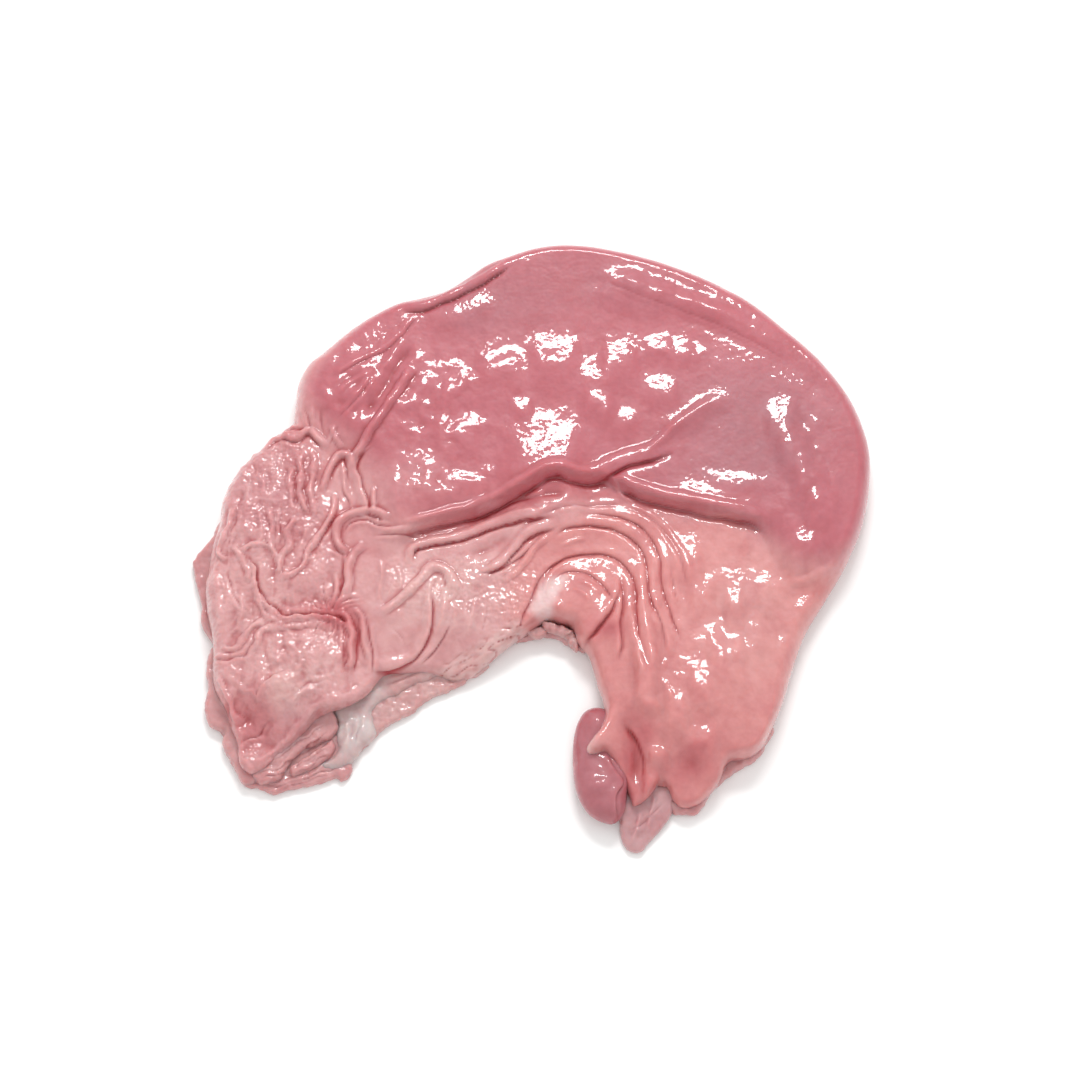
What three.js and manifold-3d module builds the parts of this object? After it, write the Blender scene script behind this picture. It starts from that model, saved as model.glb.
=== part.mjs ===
// A raw pork stomach, turned inside out, emptied and laid flat on a table, in millimetres.
// It is one collapsed bag bent into a C round its lesser curvature. +X runs to the right of the
// C, +Y runs from its open bay towards the greater curvature, and +Z is up from the table.
//
// The bag is a pillow: an outline with a rounded edge, a crown that rises and falls in mounds,
// and a flat underside. Rugae, the folds of the lining, are tapered ropes half sunk in it.
import * as THREE from "three";
import { mergeVertices } from "three/addons/utils/BufferGeometryUtils.js";
import Module from "manifold-3d";

const wasm = await Module();
wasm.setup();

// Driving dimensions
const CROWN = 15; // height of the collapsed bag away from its mounds
const EDGE_REACH = 9; // how far in from the outline the rounded edge runs
const CUT_REACH = 3; // the same at the cut pylorus, where the wall is one layer
const WAIST_SHARE = 0.36; // height of the widest line, as a share of the crown
const WALL = 4.5; // thickness of one layer of stomach wall
const GRID = 6; // spacing of the bag's mesh
const FINE_GRID = 4.6; // the same of the thin layers
const OUTLINE_STEPS = 360;
const PRESSED = 1.2; // how far the underside is pressed flat by the bag's weight
const BROAD_ROPE = 4.6; // half-width from which a rope's section has eight sides and not six
const ROPE_STEP = 6; // distance between a rope's rings
const ROPE_SUNK = 0.5; // how far a rope's middle lies under the skin, as a share of its height
const FLESH = "#cf858b";

// The outline of the bag's upper wall, from the left lobe's outer side, clockwise from above.
const BAG_OUTLINE = [
  [-141, -10], [-138, 10], [-133, 27], [-121, 44], [-109, 53], [-105, 68], [-99, 82],
  [-82, 98], [-66, 109], [-47, 115], [-28, 124], [-12, 133], [6, 137.5], [30, 137],
  [58, 131], [88, 119], [114, 102], [134, 80], [146, 53], [148, 26], [142, 0],
  [130, -22], [117, -46], [109, -70], [103, -85], [90, -99], [80, -107], [74, -120],
  [65, -127], [59, -124], [55, -116], [49, -119], [43, -124], [38, -113], [32, -101],
  [24, -98], [28, -88], [30, -74], [25, -59], [18, -46], [8, -40], [-4, -43],
  [-24, -52], [-46, -57], [-64, -61], [-70, -72], [-90, -79.5], [-103, -95], [-114, -105],
  [-124, -107], [-130, -90], [-137, -69], [-139, -46], [-142, -28],
];

// The layers of wall that lie under the bag and show past it along the left lobe, at its tail
// and along the lesser curvature: how high each one's upper face lies, and its outline.
const UNDER_LAYERS = [
  [5.5, [
    [-128, 8], [-141, 0], [-148.5, -9], [-146, -21], [-144, -36], [-140, -48], [-141.5, -62],
    [-141, -79], [-133.5, -88], [-129, -101], [-121.5, -113], [-110.5, -116.5], [-95, -113.5],
    [-79, -111], [-77, -102], [-67.5, -87], [-50, -73], [-31, -65], [-12, -50.5], [4, -43.5],
    [20, -48], [18, -34], [-20, -36], [-60, -48], [-90, -62], [-112, -40], [-122, -8],
  ]],
  [8, [
    [-84, -78], [-80, -90], [-85, -99], [-97, -108], [-108, -112.5], [-118, -108], [-120, -96],
    [-108, -82], [-96, -70],
  ]],
  [11, [
    [-84, -68], [-80, -82], [-87, -92], [-98, -98], [-106, -107], [-115, -107], [-119, -96],
    [-108, -82], [-96, -64],
  ]],
  [8.5, [
    [-74, -67], [-79, -79], [-72, -81], [-60, -72], [-44, -64.5], [-26, -58], [-8, -48.5],
    [2, -40], [-20, -38], [-50, -48],
  ]],
];

// The lower layer of the pylorus, whose cut hem shows past the upper wall.
const HEM_OUTLINE = [
  [105, -76], [103, -89], [97, -99], [87, -106.5], [78, -116], [71, -128], [61, -129.5],
  [58, -121], [68, -106], [84, -90], [96, -74],
];

// The thin tongue of gut left on the pylorus.
const TONGUE_OUTLINE = [
  [36, -120], [35, -129], [38, -139], [43, -145], [49, -142], [57, -133], [60, -124],
  [54, -116], [45, -113],
];

// The muscular lump of the pylorus, which stands out of the cut mouth.
const LUMP = { at: [29, -106, 8.5], half: [12, 28, 8.5], turn: -0.03 };

// Mounds and hollows of the crown: [x, y, radius, height].
const MOUNDS = [
  [5, 80, 62, 5], [104, 55, 46, 6], [-70, 55, 42, 3], [-112, 0, 40, 5],
  [-104, -58, 30, 3], [24, -31, 13, 3.5], [78, -40, 42, 4], [45, 4, 26, -2.5],
  [58, -118, 26, -4], [-112, -104, 18, -4], [-28, -50, 30, -5],
];

// Rugae: how far each reaches to a side, how high it stands, and where it runs.
const RUGAE = [
  // the two long folds across the middle, and the ridges that carry them on
  [6, 6.5, [[-52, 4], [-26, 13], [-8, 21], [4, 28], [15, 29], [26, 28], [36, 33], [50, 37], [66, 40]]],
  [4, 4.5, [[-54, -5], [-40, -4], [-24, 0], [-8, 6], [10, 9]]],
  [4, 3, [[-30, -11], [-16, -11], [-5, -5], [6, 3]]],
  [3, 2, [[54, 43], [64, 55], [76, 65], [90, 72]]],
  // the lip of the body over the pyloric part, and the pale band at its outer end
  [5.5, 4.5, [[38, 24], [50, 19], [66, 14], [82, 10], [96, 6], [104, -2]]],
  [4, 2.5, [[104, -26], [116, -23], [126, -18], [135, -10]]],
  // arcs round the lesser curvature, which turn down into the pyloric part
  [4, 3, [[4, -24], [10, -15], [20, -11], [31, -13], [38, -21], [40, -31]]],
  [4, 3, [[6, -12], [16, -4], [30, -4], [40, -10], [46, -22], [48, -38], [50, -58]]],
  [4, 2.6, [[12, 2], [28, 4], [44, -1], [52, -11], [54, -27], [58, -42], [61, -60]]],
  [3.5, 2, [[40, 6], [54, 0], [62, -11], [66, -26]]],
  [3.5, 2.4, [[39, -32], [41, -44], [41, -58]]],
  // the roll along the greater curvature
  [8, 3, [[26, 126], [48, 120], [72, 111], [94, 99], [113, 84], [127, 66]]],
  [4.5, 4.5, [[-58, 104], [-44, 107], [-30, 114], [-16, 122]]],
  // the folds where the body meets the left lobe
  [4, 3.2, [[-54, 78], [-61, 64], [-69, 51], [-78, 36]]],
  [2.6, 2.6, [[-69.5, 20], [-69, 7]]],
  [3.4, 3.6, [[-64, 2], [-72, 7], [-80, 6], [-86, 0], [-84, -8]]],
  [3.6, 3.2, [[-75, -6], [-79, -16], [-81, -30], [-85, -38]]],
  // the crossed wrinkles of the left lobe, and the fingers below them
  [3.6, 3.4, [[-123, -12], [-120, -26], [-112, -35], [-98, -37], [-84, -35]]],
  [3, 3.2, [[-79, -38], [-77, -48], [-79, -62]]],
  [3, 2.6, [[-73, -38], [-70, -48], [-70, -62]]],
];

// The left lobe's lining is crinkled into short wavering folds, side by side, along the lobe.
const CRINKLES = {
  from: [-129, 30],
  columns: 6,
  rows: 3,
  step: [8, -30],
  long: 25,
  waver: 3.4,
  side: 2.7,
  high: 2.1,
  clear: 9, // room left between a crinkle and the bag's edge
  seed: 11,
};

// A closed smooth line through the given points, as evenly spaced places.
function closedLine(points) {
  const knots = points.map(([x, y]) => new THREE.Vector3(x, y, 0));
  const curve = new THREE.CatmullRomCurve3(knots, true, "centripetal");
  return curve.getSpacedPoints(OUTLINE_STEPS).slice(0, OUTLINE_STEPS);
}

// The distance from a place to a closed line, positive inside, and the direction inwards.
function edgeDistance(line, x, y) {
  let least = Infinity;
  let nearX = 0;
  let nearY = 0;
  let inside = false;
  line.forEach((a, i) => {
    const b = line[(i + 1) % line.length];
    const alongX = b.x - a.x;
    const alongY = b.y - a.y;
    const share = ((x - a.x) * alongX + (y - a.y) * alongY) / (alongX ** 2 + alongY ** 2);
    const t = Math.min(1, Math.max(0, share));
    const offX = x - a.x - t * alongX;
    const offY = y - a.y - t * alongY;
    const gap = Math.hypot(offX, offY);
    if (gap < least) {
      least = gap;
      nearX = offX;
      nearY = offY;
    }
    if (a.y > y !== b.y > y && x < a.x + ((y - a.y) / alongY) * alongX) inside = !inside;
  });
  const sign = inside ? 1 : -1;
  const scale = sign / Math.max(least, 1e-6);
  return { gap: sign * least, inX: nearX * scale, inY: nearY * scale };
}

const smooth = (share) => {
  const t = Math.min(1, Math.max(0, share));
  return t * t * (3 - 2 * t);
};

// A small repeatable source of numbers from -1 to 1.
function numbersFrom(seed) {
  let state = seed;
  return () => {
    state = (state * 16807) % 2147483647;
    return (state / 2147483647) * 2 - 1;
  };
}

function crinkleRoutes() {
  const { from, columns, rows, step, long, waver, side, high, clear, seed } = CRINKLES;
  const next = numbersFrom(seed);
  const crinkles = [];
  for (let column = 0; column < columns; column++) {
    for (let row = 0; row < rows; row++) {
      const x = from[0] + column * step[0] + waver * 0.5 * next();
      const y = from[1] + row * step[1] - (column % 2) * long * 0.5 + waver * next();
      const turn = 0.25 * next() - 0.012 * (x + 105);
      const route = [-0.5, -0.17, 0.17, 0.5].map((share, k) => {
        const across = waver * (k % 2 ? 0.5 : -0.5) + waver * 0.4 * next();
        return [x + across + turn * share * long, y - share * long];
      });
      const onBag = route.every(([px, py]) => edgeDistance(bag.line, px, py).gap > clear);
      const size = [side + 0.4 * next(), high + 0.5 * next()];
      if (onBag) crinkles.push([...size, route]);
    }
  }
  return crinkles;
}

// The crown's height over the table, away from the edge.
function crownAt(x, y) {
  const bell = ([mx, my, radius]) => Math.exp(-((x - mx) ** 2 + (y - my) ** 2) / radius ** 2);
  return MOUNDS.reduce((height, mound) => height + mound[3] * bell(mound), CROWN);
}

// How much a place belongs to the cut mouth of the pylorus, from 0 to 1.
const mouthShare = (x, y) => smooth((22 - Math.hypot(x - 50, (y + 122) * 1.2)) / 14);

const bag = {
  line: closedLine(BAG_OUTLINE),
  reach: (x, y) => THREE.MathUtils.lerp(EDGE_REACH, CUT_REACH, smooth((-86 - y) / 14)),
  top: crownAt,
  floor: (x, y) => THREE.MathUtils.lerp(-PRESSED, crownAt(x, y) - WALL, mouthShare(x, y)),
};
const underLayers = UNDER_LAYERS.map(([height, outline]) => ({
  line: closedLine(outline),
  reach: () => CUT_REACH,
  top: (x, y) => height + Math.sin(x / 9) * Math.sin(y / 7),
  floor: () => -PRESSED,
}));
const hem = {
  line: closedLine(HEM_OUTLINE),
  reach: () => CUT_REACH,
  top: () => WALL,
  floor: () => -PRESSED,
};
const tongue = {
  line: closedLine(TONGUE_OUTLINE),
  reach: () => CUT_REACH,
  top: (x, y) => 3.2 + 2.5 * smooth((y + 134) / 16),
  floor: () => -PRESSED,
};

// Marks where a piece's skin is, from the run over its rounded edge: 0 at the widest line.
const rise = (run, reach) => Math.sin(Math.min(run / reach, Math.PI / 2));

// The height of a piece's upper skin over a place in plan.
function skinHeight(piece, x, y) {
  const { gap } = edgeDistance(piece.line, x, y);
  const reach = piece.reach(x, y);
  const run = Math.acos(Math.min(1, Math.max(0, 1 - gap / reach))) * reach;
  const top = piece.top(x, y);
  const low = piece.floor(x, y);
  const waist = low + WAIST_SHARE * (top - low);
  return waist + (top - waist) * rise(run, reach);
}

// A flat grid cut along the outline, spread so that its outer strip can be bent round the edge.
// Each corner holds its place, its distance in from the outline and the direction inwards.
function spreadGrid(piece, spacing) {
  const spreadOf = (x, y) => piece.reach(x, y) * (Math.PI / 2 - 1);
  const corner = (x, y) => {
    const found = edgeDistance(piece.line, x, y);
    return { x, y, ...found, run: found.gap + spreadOf(x, y) };
  };
  const moved = (c, by) => corner(c.x - c.inX * by, c.y - c.inY * by);
  const onEdge = (c) => {
    const near = moved(c, c.run);
    return { ...moved(near, near.run), run: 0 };
  };
  const box = new THREE.Box3().setFromPoints(piece.line).expandByScalar(EDGE_REACH);
  const columns = Math.ceil((box.max.x - box.min.x) / spacing) + 1;
  const rows = Math.ceil((box.max.y - box.min.y) / spacing) + 1;
  const corners = [];
  for (let j = 0; j < rows; j++) {
    for (let i = 0; i < columns; i++) {
      const c = corner(box.min.x + i * spacing, box.min.y + j * spacing);
      corners.push(Math.abs(c.run) < 0.3 * spacing ? onEdge(c) : c);
    }
  }
  const cuts = new Map();
  const cutBetween = (a, b) => {
    const key = Math.min(a, b) + ":" + Math.max(a, b);
    if (!cuts.has(key)) {
      const t = corners[a].run / (corners[a].run - corners[b].run);
      const x = THREE.MathUtils.lerp(corners[a].x, corners[b].x, t);
      const y = THREE.MathUtils.lerp(corners[a].y, corners[b].y, t);
      corners.push(onEdge(corner(x, y)));
      cuts.set(key, corners.length - 1);
    }
    return cuts.get(key);
  };
  const triangles = [];
  for (let j = 0; j + 1 < rows; j++) {
    for (let i = 0; i + 1 < columns; i++) {
      const a = j * columns + i;
      const cell = [a, a + 1, a + columns + 1, a + columns];
      const kept = cell.flatMap((at, k) => {
        const next = cell[(k + 1) % cell.length];
        const crosses = corners[at].run * corners[next].run < 0;
        const here = corners[at].run >= 0 ? [at] : [];
        return crosses ? [...here, cutBetween(at, next)] : here;
      });
      for (let k = 1; k + 1 < kept.length; k++) triangles.push([kept[0], kept[k], kept[k + 1]]);
    }
  }
  return { corners, triangles };
}

// A piece's closed skin: the grid bent over the rounded edge above, and tucked in below.
function pillow(piece, spacing) {
  const { corners, triangles } = spreadGrid(piece, spacing);
  const places = corners.map((c) => {
    const reach = piece.reach(c.x, c.y);
    const bent = c.run < (reach * Math.PI) / 2 ? reach * (1 - Math.cos(c.run / reach)) : c.gap;
    const x = c.x + c.inX * (bent - c.gap);
    const y = c.y + c.inY * (bent - c.gap);
    const top = piece.top(x, y);
    const low = piece.floor(x, y);
    const waist = low + WAIST_SHARE * (top - low);
    const up = c.run > 0 ? rise(c.run, reach) : 0;
    return { x, y, upper: waist + (top - waist) * up, under: waist - (waist - low) * up };
  });
  const positions = [];
  const put = (at, side) => positions.push(places[at].x, places[at].y, places[at][side]);
  for (const [a, b, c] of triangles) {
    [a, b, c].forEach((at) => put(at, "upper"));
    [a, c, b].forEach((at) => put(at, "under"));
  }
  return asGeometry(positions);
}

// A fold of the lining: an oval rope along a route on the bag, thinned to nothing at its ends.
function ruga([side, height, route]) {
  const curve = new THREE.CatmullRomCurve3(route.map(([x, y]) => new THREE.Vector3(x, y, 0)));
  const steps = Math.max(4, Math.round(curve.getLength() / ROPE_STEP));
  const sides = side < BROAD_ROPE ? 6 : 8;
  const sunk = height * ROPE_SUNK;
  const rings = [];
  for (let i = 0; i <= steps; i++) {
    const share = i / steps;
    const middle = curve.getPointAt(share);
    const along = curve.getTangentAt(share);
    const fade = smooth(Math.min(share, 1 - share) * Math.max(4, steps / 2.5));
    const thick = THREE.MathUtils.lerp(0.25, 1, fade);
    const base = skinHeight(bag, middle.x, middle.y) - sunk;
    rings.push(
      Array.from({ length: sides }, (_, k) => {
        const angle = (k / sides) * 2 * Math.PI + Math.PI / 2;
        const out = side * thick * Math.cos(angle);
        const up = (height + sunk) * thick * Math.sin(angle);
        return [middle.x + along.y * out, middle.y - along.x * out, base + up];
      }),
    );
  }
  const positions = [];
  const face = (...places) => places.forEach((place) => positions.push(...place));
  for (let i = 0; i < steps; i++) {
    for (let k = 0; k < sides; k++) {
      const next = (k + 1) % sides;
      face(rings[i][k], rings[i + 1][k], rings[i + 1][next]);
      face(rings[i][k], rings[i + 1][next], rings[i][next]);
    }
  }
  for (let k = 1; k + 1 < sides; k++) {
    face(rings[0][0], rings[0][k], rings[0][k + 1]);
    face(rings[steps][0], rings[steps][k + 1], rings[steps][k]);
  }
  return asGeometry(positions);
}

function pyloricLump() {
  const { at, half, turn } = LUMP;
  const geometry = new THREE.SphereGeometry(1, 20, 14);
  geometry.scale(...half);
  geometry.rotateZ(turn);
  geometry.translate(...at);
  return geometry;
}

function asGeometry(positions) {
  const attribute = new THREE.Float32BufferAttribute(positions, 3);
  return new THREE.BufferGeometry().setAttribute("position", attribute);
}

function solidOf(geometry) {
  const bare = new THREE.BufferGeometry();
  bare.setAttribute("position", geometry.getAttribute("position"));
  bare.setIndex(geometry.getIndex());
  const merged = mergeVertices(bare, 1e-3);
  const vertProperties = merged.getAttribute("position").array;
  const triVerts = new Uint32Array(merged.getIndex().array);
  const solid = new wasm.Manifold(new wasm.Mesh({ numProp: 3, vertProperties, triVerts }));
  if (solid.volume() < 0) throw new Error("a piece is inside out");
  return solid;
}

function geometryOf(solid) {
  const { numProp, vertProperties, triVerts } = solid.getMesh();
  const count = vertProperties.length / numProp;
  const positions = new Float32Array(count * 3);
  for (let i = 0; i < count; i++) {
    positions.set(vertProperties.subarray(i * numProp, i * numProp + 3), i * 3);
  }
  const geometry = new THREE.BufferGeometry();
  geometry.setAttribute("position", new THREE.BufferAttribute(positions, 3));
  geometry.setIndex(new THREE.BufferAttribute(triVerts, 1));
  geometry.computeVertexNormals();
  return geometry;
}

function stomachSolid() {
  const parts = [
    pillow(bag, GRID),
    ...[...underLayers, hem, tongue].map((piece) => pillow(piece, FINE_GRID)),
    pyloricLump(),
    ...[...RUGAE, ...crinkleRoutes()].map(ruga),
  ];
  const table = new THREE.BoxGeometry(400, 400, 40).translate(0, 0, -20);
  const whole = parts.map(solidOf).reduce((sum, part) => sum.add(part));
  return whole.subtract(solidOf(table));
}

const stomach = new THREE.Mesh(
  geometryOf(stomachSolid()),
  new THREE.MeshStandardMaterial({ color: FLESH, roughness: 0.25, metalness: 0 }),
);
stomach.name = "stomach";

// The origin is on the table, under the middle of the whole.
stomach.geometry.computeBoundingBox();
const middle = stomach.geometry.boundingBox.getCenter(new THREE.Vector3());
stomach.position.set(-middle.x, -middle.y, -stomach.geometry.boundingBox.min.z);

const group = new THREE.Group();
group.add(stomach);

export default group;
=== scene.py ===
"""A raw pork stomach, turned inside out and laid flat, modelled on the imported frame.

Shapes are worked out in millimetres over the plan of the table: X to the right, Y away from
the camera, Z up. A piece is a pillow: an outline with a rounded edge and a crown of mounds,
on which folds, creases and crinkles are laid. It is turned into metres when its mesh is made.
"""

import math

import bmesh
import bpy
import numpy as np
from mathutils import Matrix, Vector


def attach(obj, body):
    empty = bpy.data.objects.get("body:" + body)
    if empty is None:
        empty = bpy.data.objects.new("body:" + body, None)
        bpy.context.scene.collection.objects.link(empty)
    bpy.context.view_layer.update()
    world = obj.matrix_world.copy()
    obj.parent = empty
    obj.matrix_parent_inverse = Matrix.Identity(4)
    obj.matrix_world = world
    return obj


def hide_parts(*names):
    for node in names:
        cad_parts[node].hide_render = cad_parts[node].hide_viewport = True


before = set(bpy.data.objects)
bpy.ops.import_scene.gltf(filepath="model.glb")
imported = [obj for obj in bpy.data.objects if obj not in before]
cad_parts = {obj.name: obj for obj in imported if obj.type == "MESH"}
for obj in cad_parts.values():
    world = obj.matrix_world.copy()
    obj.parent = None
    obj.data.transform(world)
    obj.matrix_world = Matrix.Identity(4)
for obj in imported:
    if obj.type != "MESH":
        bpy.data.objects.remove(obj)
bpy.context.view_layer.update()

MM = 0.001
FINE_GRID, COARSE_GRID = 0.69, 0.98  # spacing of the stomach's mesh, in the folds and on the body
SMALL_GRID = 0.6  # spacing of the small pieces' meshes
LINE_STEP = 1.0  # spacing of the places along an outline or a route
PLAN_TO_FRAME = (0.2, 3.54)  # the frame's origin is under the middle of the box
PLAN_SHIFT = Matrix.Translation((PLAN_TO_FRAME[0] * MM, PLAN_TO_FRAME[1] * MM, 0))
LINE_PARTS = 12  # straight parts that a smooth line has between two of its points
BATCH = 4000  # places compared with a line at once, which keeps the tables small
# Large odd numbers that mix a cell's place and a seed, so that the noise is the same each run
MIX_COLUMN, MIX_ROW, MIX_SEED, MIX_AGAIN = 374761393, 668265263, 974634777, 1274126177
MIX_RANGE = 2147483648
GRAIN_GAIN = 1.6  # brings the noise out to about -1 and 1


# Lines in plan


def smooth_line(points, step=LINE_STEP, closed=False):
    """Evenly spaced places along a smooth line through the points."""
    knots = np.array(points, float)
    count = len(knots)
    if closed:
        before, after = np.roll(knots, 1, 0), np.roll(knots, -1, 0)
    else:
        before = np.vstack([2 * knots[0] - knots[1], knots[:-1]])
        after = np.vstack([knots[1:], 2 * knots[-1] - knots[-2]])
    back = np.linalg.norm(knots - before, axis=1)[:, None]
    ahead = np.linalg.norm(after - knots, axis=1)[:, None]
    slope = ((after - knots) / ahead * back + (knots - before) / back * ahead) / (back + ahead)
    places = []
    t = np.linspace(0, 1, LINE_PARTS + 1)[:-1, None]
    for i in range(count if closed else count - 1):
        j = (i + 1) % count
        a, b, span = knots[i], knots[j], ahead[i]
        places.append(
            (2 * t**3 - 3 * t**2 + 1) * a
            + (t**3 - 2 * t**2 + t) * slope[i] * span
            + (3 * t**2 - 2 * t**3) * b
            + (t**3 - t**2) * slope[j] * span
        )
    line = np.vstack(places + [knots[:1] if closed else knots[-1:]])
    run = np.concatenate([[0], np.cumsum(np.linalg.norm(np.diff(line, axis=0), axis=1))])
    steps = max(2, round(run[-1] / step))
    marks = np.linspace(0, run[-1], steps + 1)
    line = np.stack([np.interp(marks, run, line[:, k]) for k in (0, 1)], axis=1)
    return line[:-1] if closed else line


def nearest(line, x, y, closed=False):
    """How far each place is from a line, where along it, and the line's direction there."""
    starts = line if closed else line[:-1]
    ends = np.roll(line, -1, 0) if closed else line[1:]
    along = ends - starts
    length = np.linalg.norm(along, axis=1)
    found = [np.empty(len(x)) for _ in range(6)]
    for first in range(0, len(x), BATCH):
        part = slice(first, first + BATCH)
        off_x = x[part, None] - starts[:, 0]
        off_y = y[part, None] - starts[:, 1]
        t = (off_x * along[:, 0] + off_y * along[:, 1]) / length**2
        t = np.clip(t, 0, 1)
        gap_x = off_x - t * along[:, 0]
        gap_y = off_y - t * along[:, 1]
        gap = gap_x**2 + gap_y**2
        best = gap.argmin(1)
        rows = np.arange(len(best))
        values = (
            np.sqrt(gap[rows, best]),
            (best + t[rows, best]) / len(along),
            gap_x[rows, best],
            gap_y[rows, best],
            along[best, 0] / length[best],
            along[best, 1] / length[best],
        )
        for whole, value in zip(found, values):
            whole[part] = value
    return found


def is_inside(line, x, y):
    """Whether each place lies inside a closed line."""
    crossings = np.zeros(len(x), int)
    for (ax, ay), (bx, by) in zip(line, np.roll(line, -1, 0)):
        if ay == by:
            continue
        spans = (ay > y) != (by > y)
        crossings += spans & (x < ax + (y - ay) / (by - ay) * (bx - ax))
    return crossings % 2 == 1


def edge_distance(line, x, y):
    """The distance inwards from a closed line, and the direction inwards."""
    gap, _, gap_x, gap_y, _, _ = nearest(line, x, y, closed=True)
    sign = np.where(is_inside(line, x, y), 1.0, -1.0)
    scale = sign / np.maximum(gap, 1e-6)
    return sign * gap, gap_x * scale, gap_y * scale


def smooth(share):
    """An easy step from 0 to 1."""
    t = np.clip(share, 0, 1)
    return t * t * (3 - 2 * t)


def bell(x, y, at, radius, turn=0):
    """A soft spot that is 1 at its middle; it may be longer one way, and turned by so many degrees."""
    wide, deep = radius if isinstance(radius, tuple) else (radius, radius)
    along, across = math.cos(math.radians(turn)), math.sin(math.radians(turn))
    u = (x - at[0]) * along + (y - at[1]) * across
    v = (y - at[1]) * along - (x - at[0]) * across
    return np.exp(-((u / wide) ** 2) - (v / deep) ** 2)


def grain(x, y, size, seed):
    """Smooth noise from about -1 to 1, whose lumps are about size millimetres across."""
    u, v = x / size, y / size
    column, row = np.floor(u).astype(int), np.floor(v).astype(int)
    u, v = u - column, v - row
    total = 0
    for i in (0, 1):
        for j in (0, 1):
            mixed = (column + i) * MIX_COLUMN + (row + j) * MIX_ROW + seed * MIX_SEED
            mixed = (mixed ^ (mixed >> 13)) * MIX_AGAIN % MIX_RANGE
            angle = mixed / MIX_RANGE * 2 * math.pi
            lift = np.cos(angle) * (u - i) + np.sin(angle) * (v - j)
            weight_u = smooth(u) if i else 1 - smooth(u)
            weight_v = smooth(v) if j else 1 - smooth(v)
            total = total + lift * weight_u * weight_v
    return GRAIN_GAIN * total


def soft_region(border, x, y, softness):
    """1 inside a border and 0 outside it, with a step as wide as twice the softness."""
    gap, _, _ = edge_distance(smooth_line(border, step=4, closed=True), x, y)
    return smooth(0.5 + gap / (2 * softness))


def spots(x, y, places):
    """Soft spots laid side by side: each a place, a radius and a strength."""
    return np.clip(sum(strength * bell(x, y, at, radius) for at, radius, strength in places), 0, 1)


# Folds

# The cross-sections of folds: how far across, as a share of the half-width and positive to
# the left of the route; how far the skin shifts that way; and how high it stands.
SECTIONS = {
    # a narrow ridge with soft feet
    "ridge": [
        (-1, 0, 0), (-0.65, 0, 0.1), (-0.3, 0, 0.62), (0, 0, 1), (0.3, 0, 0.62), (0.65, 0, 0.1), (1, 0, 0),
    ],
    # a plump fold with a crease at each foot
    "rope": [
        (-1.4, 0, 0), (-1.15, 0, -0.07), (-0.96, 0.04, -0.16), (-0.76, -0.02, 0.24), (-0.46, -0.03, 0.66),
        (-0.16, 0, 0.96), (0, 0, 1), (0.16, 0, 0.96), (0.46, 0.03, 0.66), (0.76, 0.02, 0.24),
        (0.96, -0.04, -0.16), (1.15, 0, -0.07), (1.4, 0, 0),
    ],
    # a low swelling without creases
    "swell": [
        (-1, 0, 0), (-0.6, 0, 0.3), (-0.3, 0, 0.8), (0, 0, 1), (0.3, 0, 0.8), (0.6, 0, 0.3), (1, 0, 0),
    ],
    # a step down over the right side, from a crest that leans over a deep crease
    "lip": [
        (-1.2, 0, 0), (-0.96, 0, -0.15), (-0.82, 0.03, -0.5), (-0.72, 0.07, -0.8), (-0.64, 0.05, -0.4),
        (-0.55, -0.05, 0.25), (-0.42, -0.1, 0.74), (-0.3, -0.06, 0.93), (-0.18, 0, 0.99), (-0.08, 0, 1),
        (0.14, 0, 0.88), (0.26, 0, 0.74), (0.4, 0, 0.4), (0.54, 0, 0.12), (0.7, 0, 0),
    ],
    # a thin crease between broad bands, the left one of which leans over it
    "crease": [
        (-1.2, 0, 0), (-0.6, 0, 0.06), (-0.3, 0.02, 0.03), (-0.14, 0.05, -0.2), (-0.03, 0.05, -0.36),
        (0.07, -0.02, -0.12), (0.18, -0.07, 0.14), (0.36, -0.05, 0.22), (0.8, 0, 0.16), (1.4, 0, 0.07),
        (2, 0, 0),
    ],
    # a narrow valley between rounded shoulders
    "furrow": [
        (-1, 0, 0), (-0.72, 0, 0.2), (-0.46, 0, 0.42), (-0.27, 0.01, 0.3), (-0.12, 0.03, -0.04),
        (0, 0, -0.28), (0.12, -0.03, -0.04), (0.27, -0.01, 0.3), (0.46, 0, 0.42), (0.72, 0, 0.2),
        (1, 0, 0),
    ],
    # a narrow valley that its higher left side leans over
    "tuck": [
        (-1, 0, 0), (-0.6, 0, 0.1), (-0.34, 0.02, 0.06), (-0.16, 0.06, -0.18), (-0.03, 0.06, -0.36),
        (0.07, -0.02, -0.06), (0.18, -0.08, 0.34), (0.36, -0.06, 0.56), (0.62, 0, 0.4), (1, 0, 0.16),
        (1.5, 0, 0),
    ],
    # an easy valley
    "dip": [(-1, 0, 0), (-0.5, 0, -0.5), (0, 0, -1), (0.5, 0, -0.5), (1, 0, 0)],
}
SECTION_STEP = 0.02
WANDER, LOBE_WANDER = 0.25, 0.85  # how far folds wander everywhere, and how much more on the lobe
UNEVEN, LOBE_UNEVEN = 0.4, 0.6  # how uneven folds are everywhere, and how much more on the lobe
WIDTH_NOISE, FADE_NOISE = 0.3, 0.4  # how much an uneven fold's width and height vary
FOLD_ROOM = 1.25  # room round a fold for its uneven width


def section_curves(points):
    """A cross-section's shift and height, each as a smooth line over how far across it is."""
    table = np.array(points)
    curves = [smooth_line(table[:, [0, k]], step=SECTION_STEP) for k in (1, 2)]
    return [curve[np.argsort(curve[:, 0])] for curve in curves]


SECTION_CURVES = {name: section_curves(points) for name, points in SECTIONS.items()}
SECTION_REACH = {name: max(abs(across) for across, _, _ in points) for name, points in SECTIONS.items()}


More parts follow.
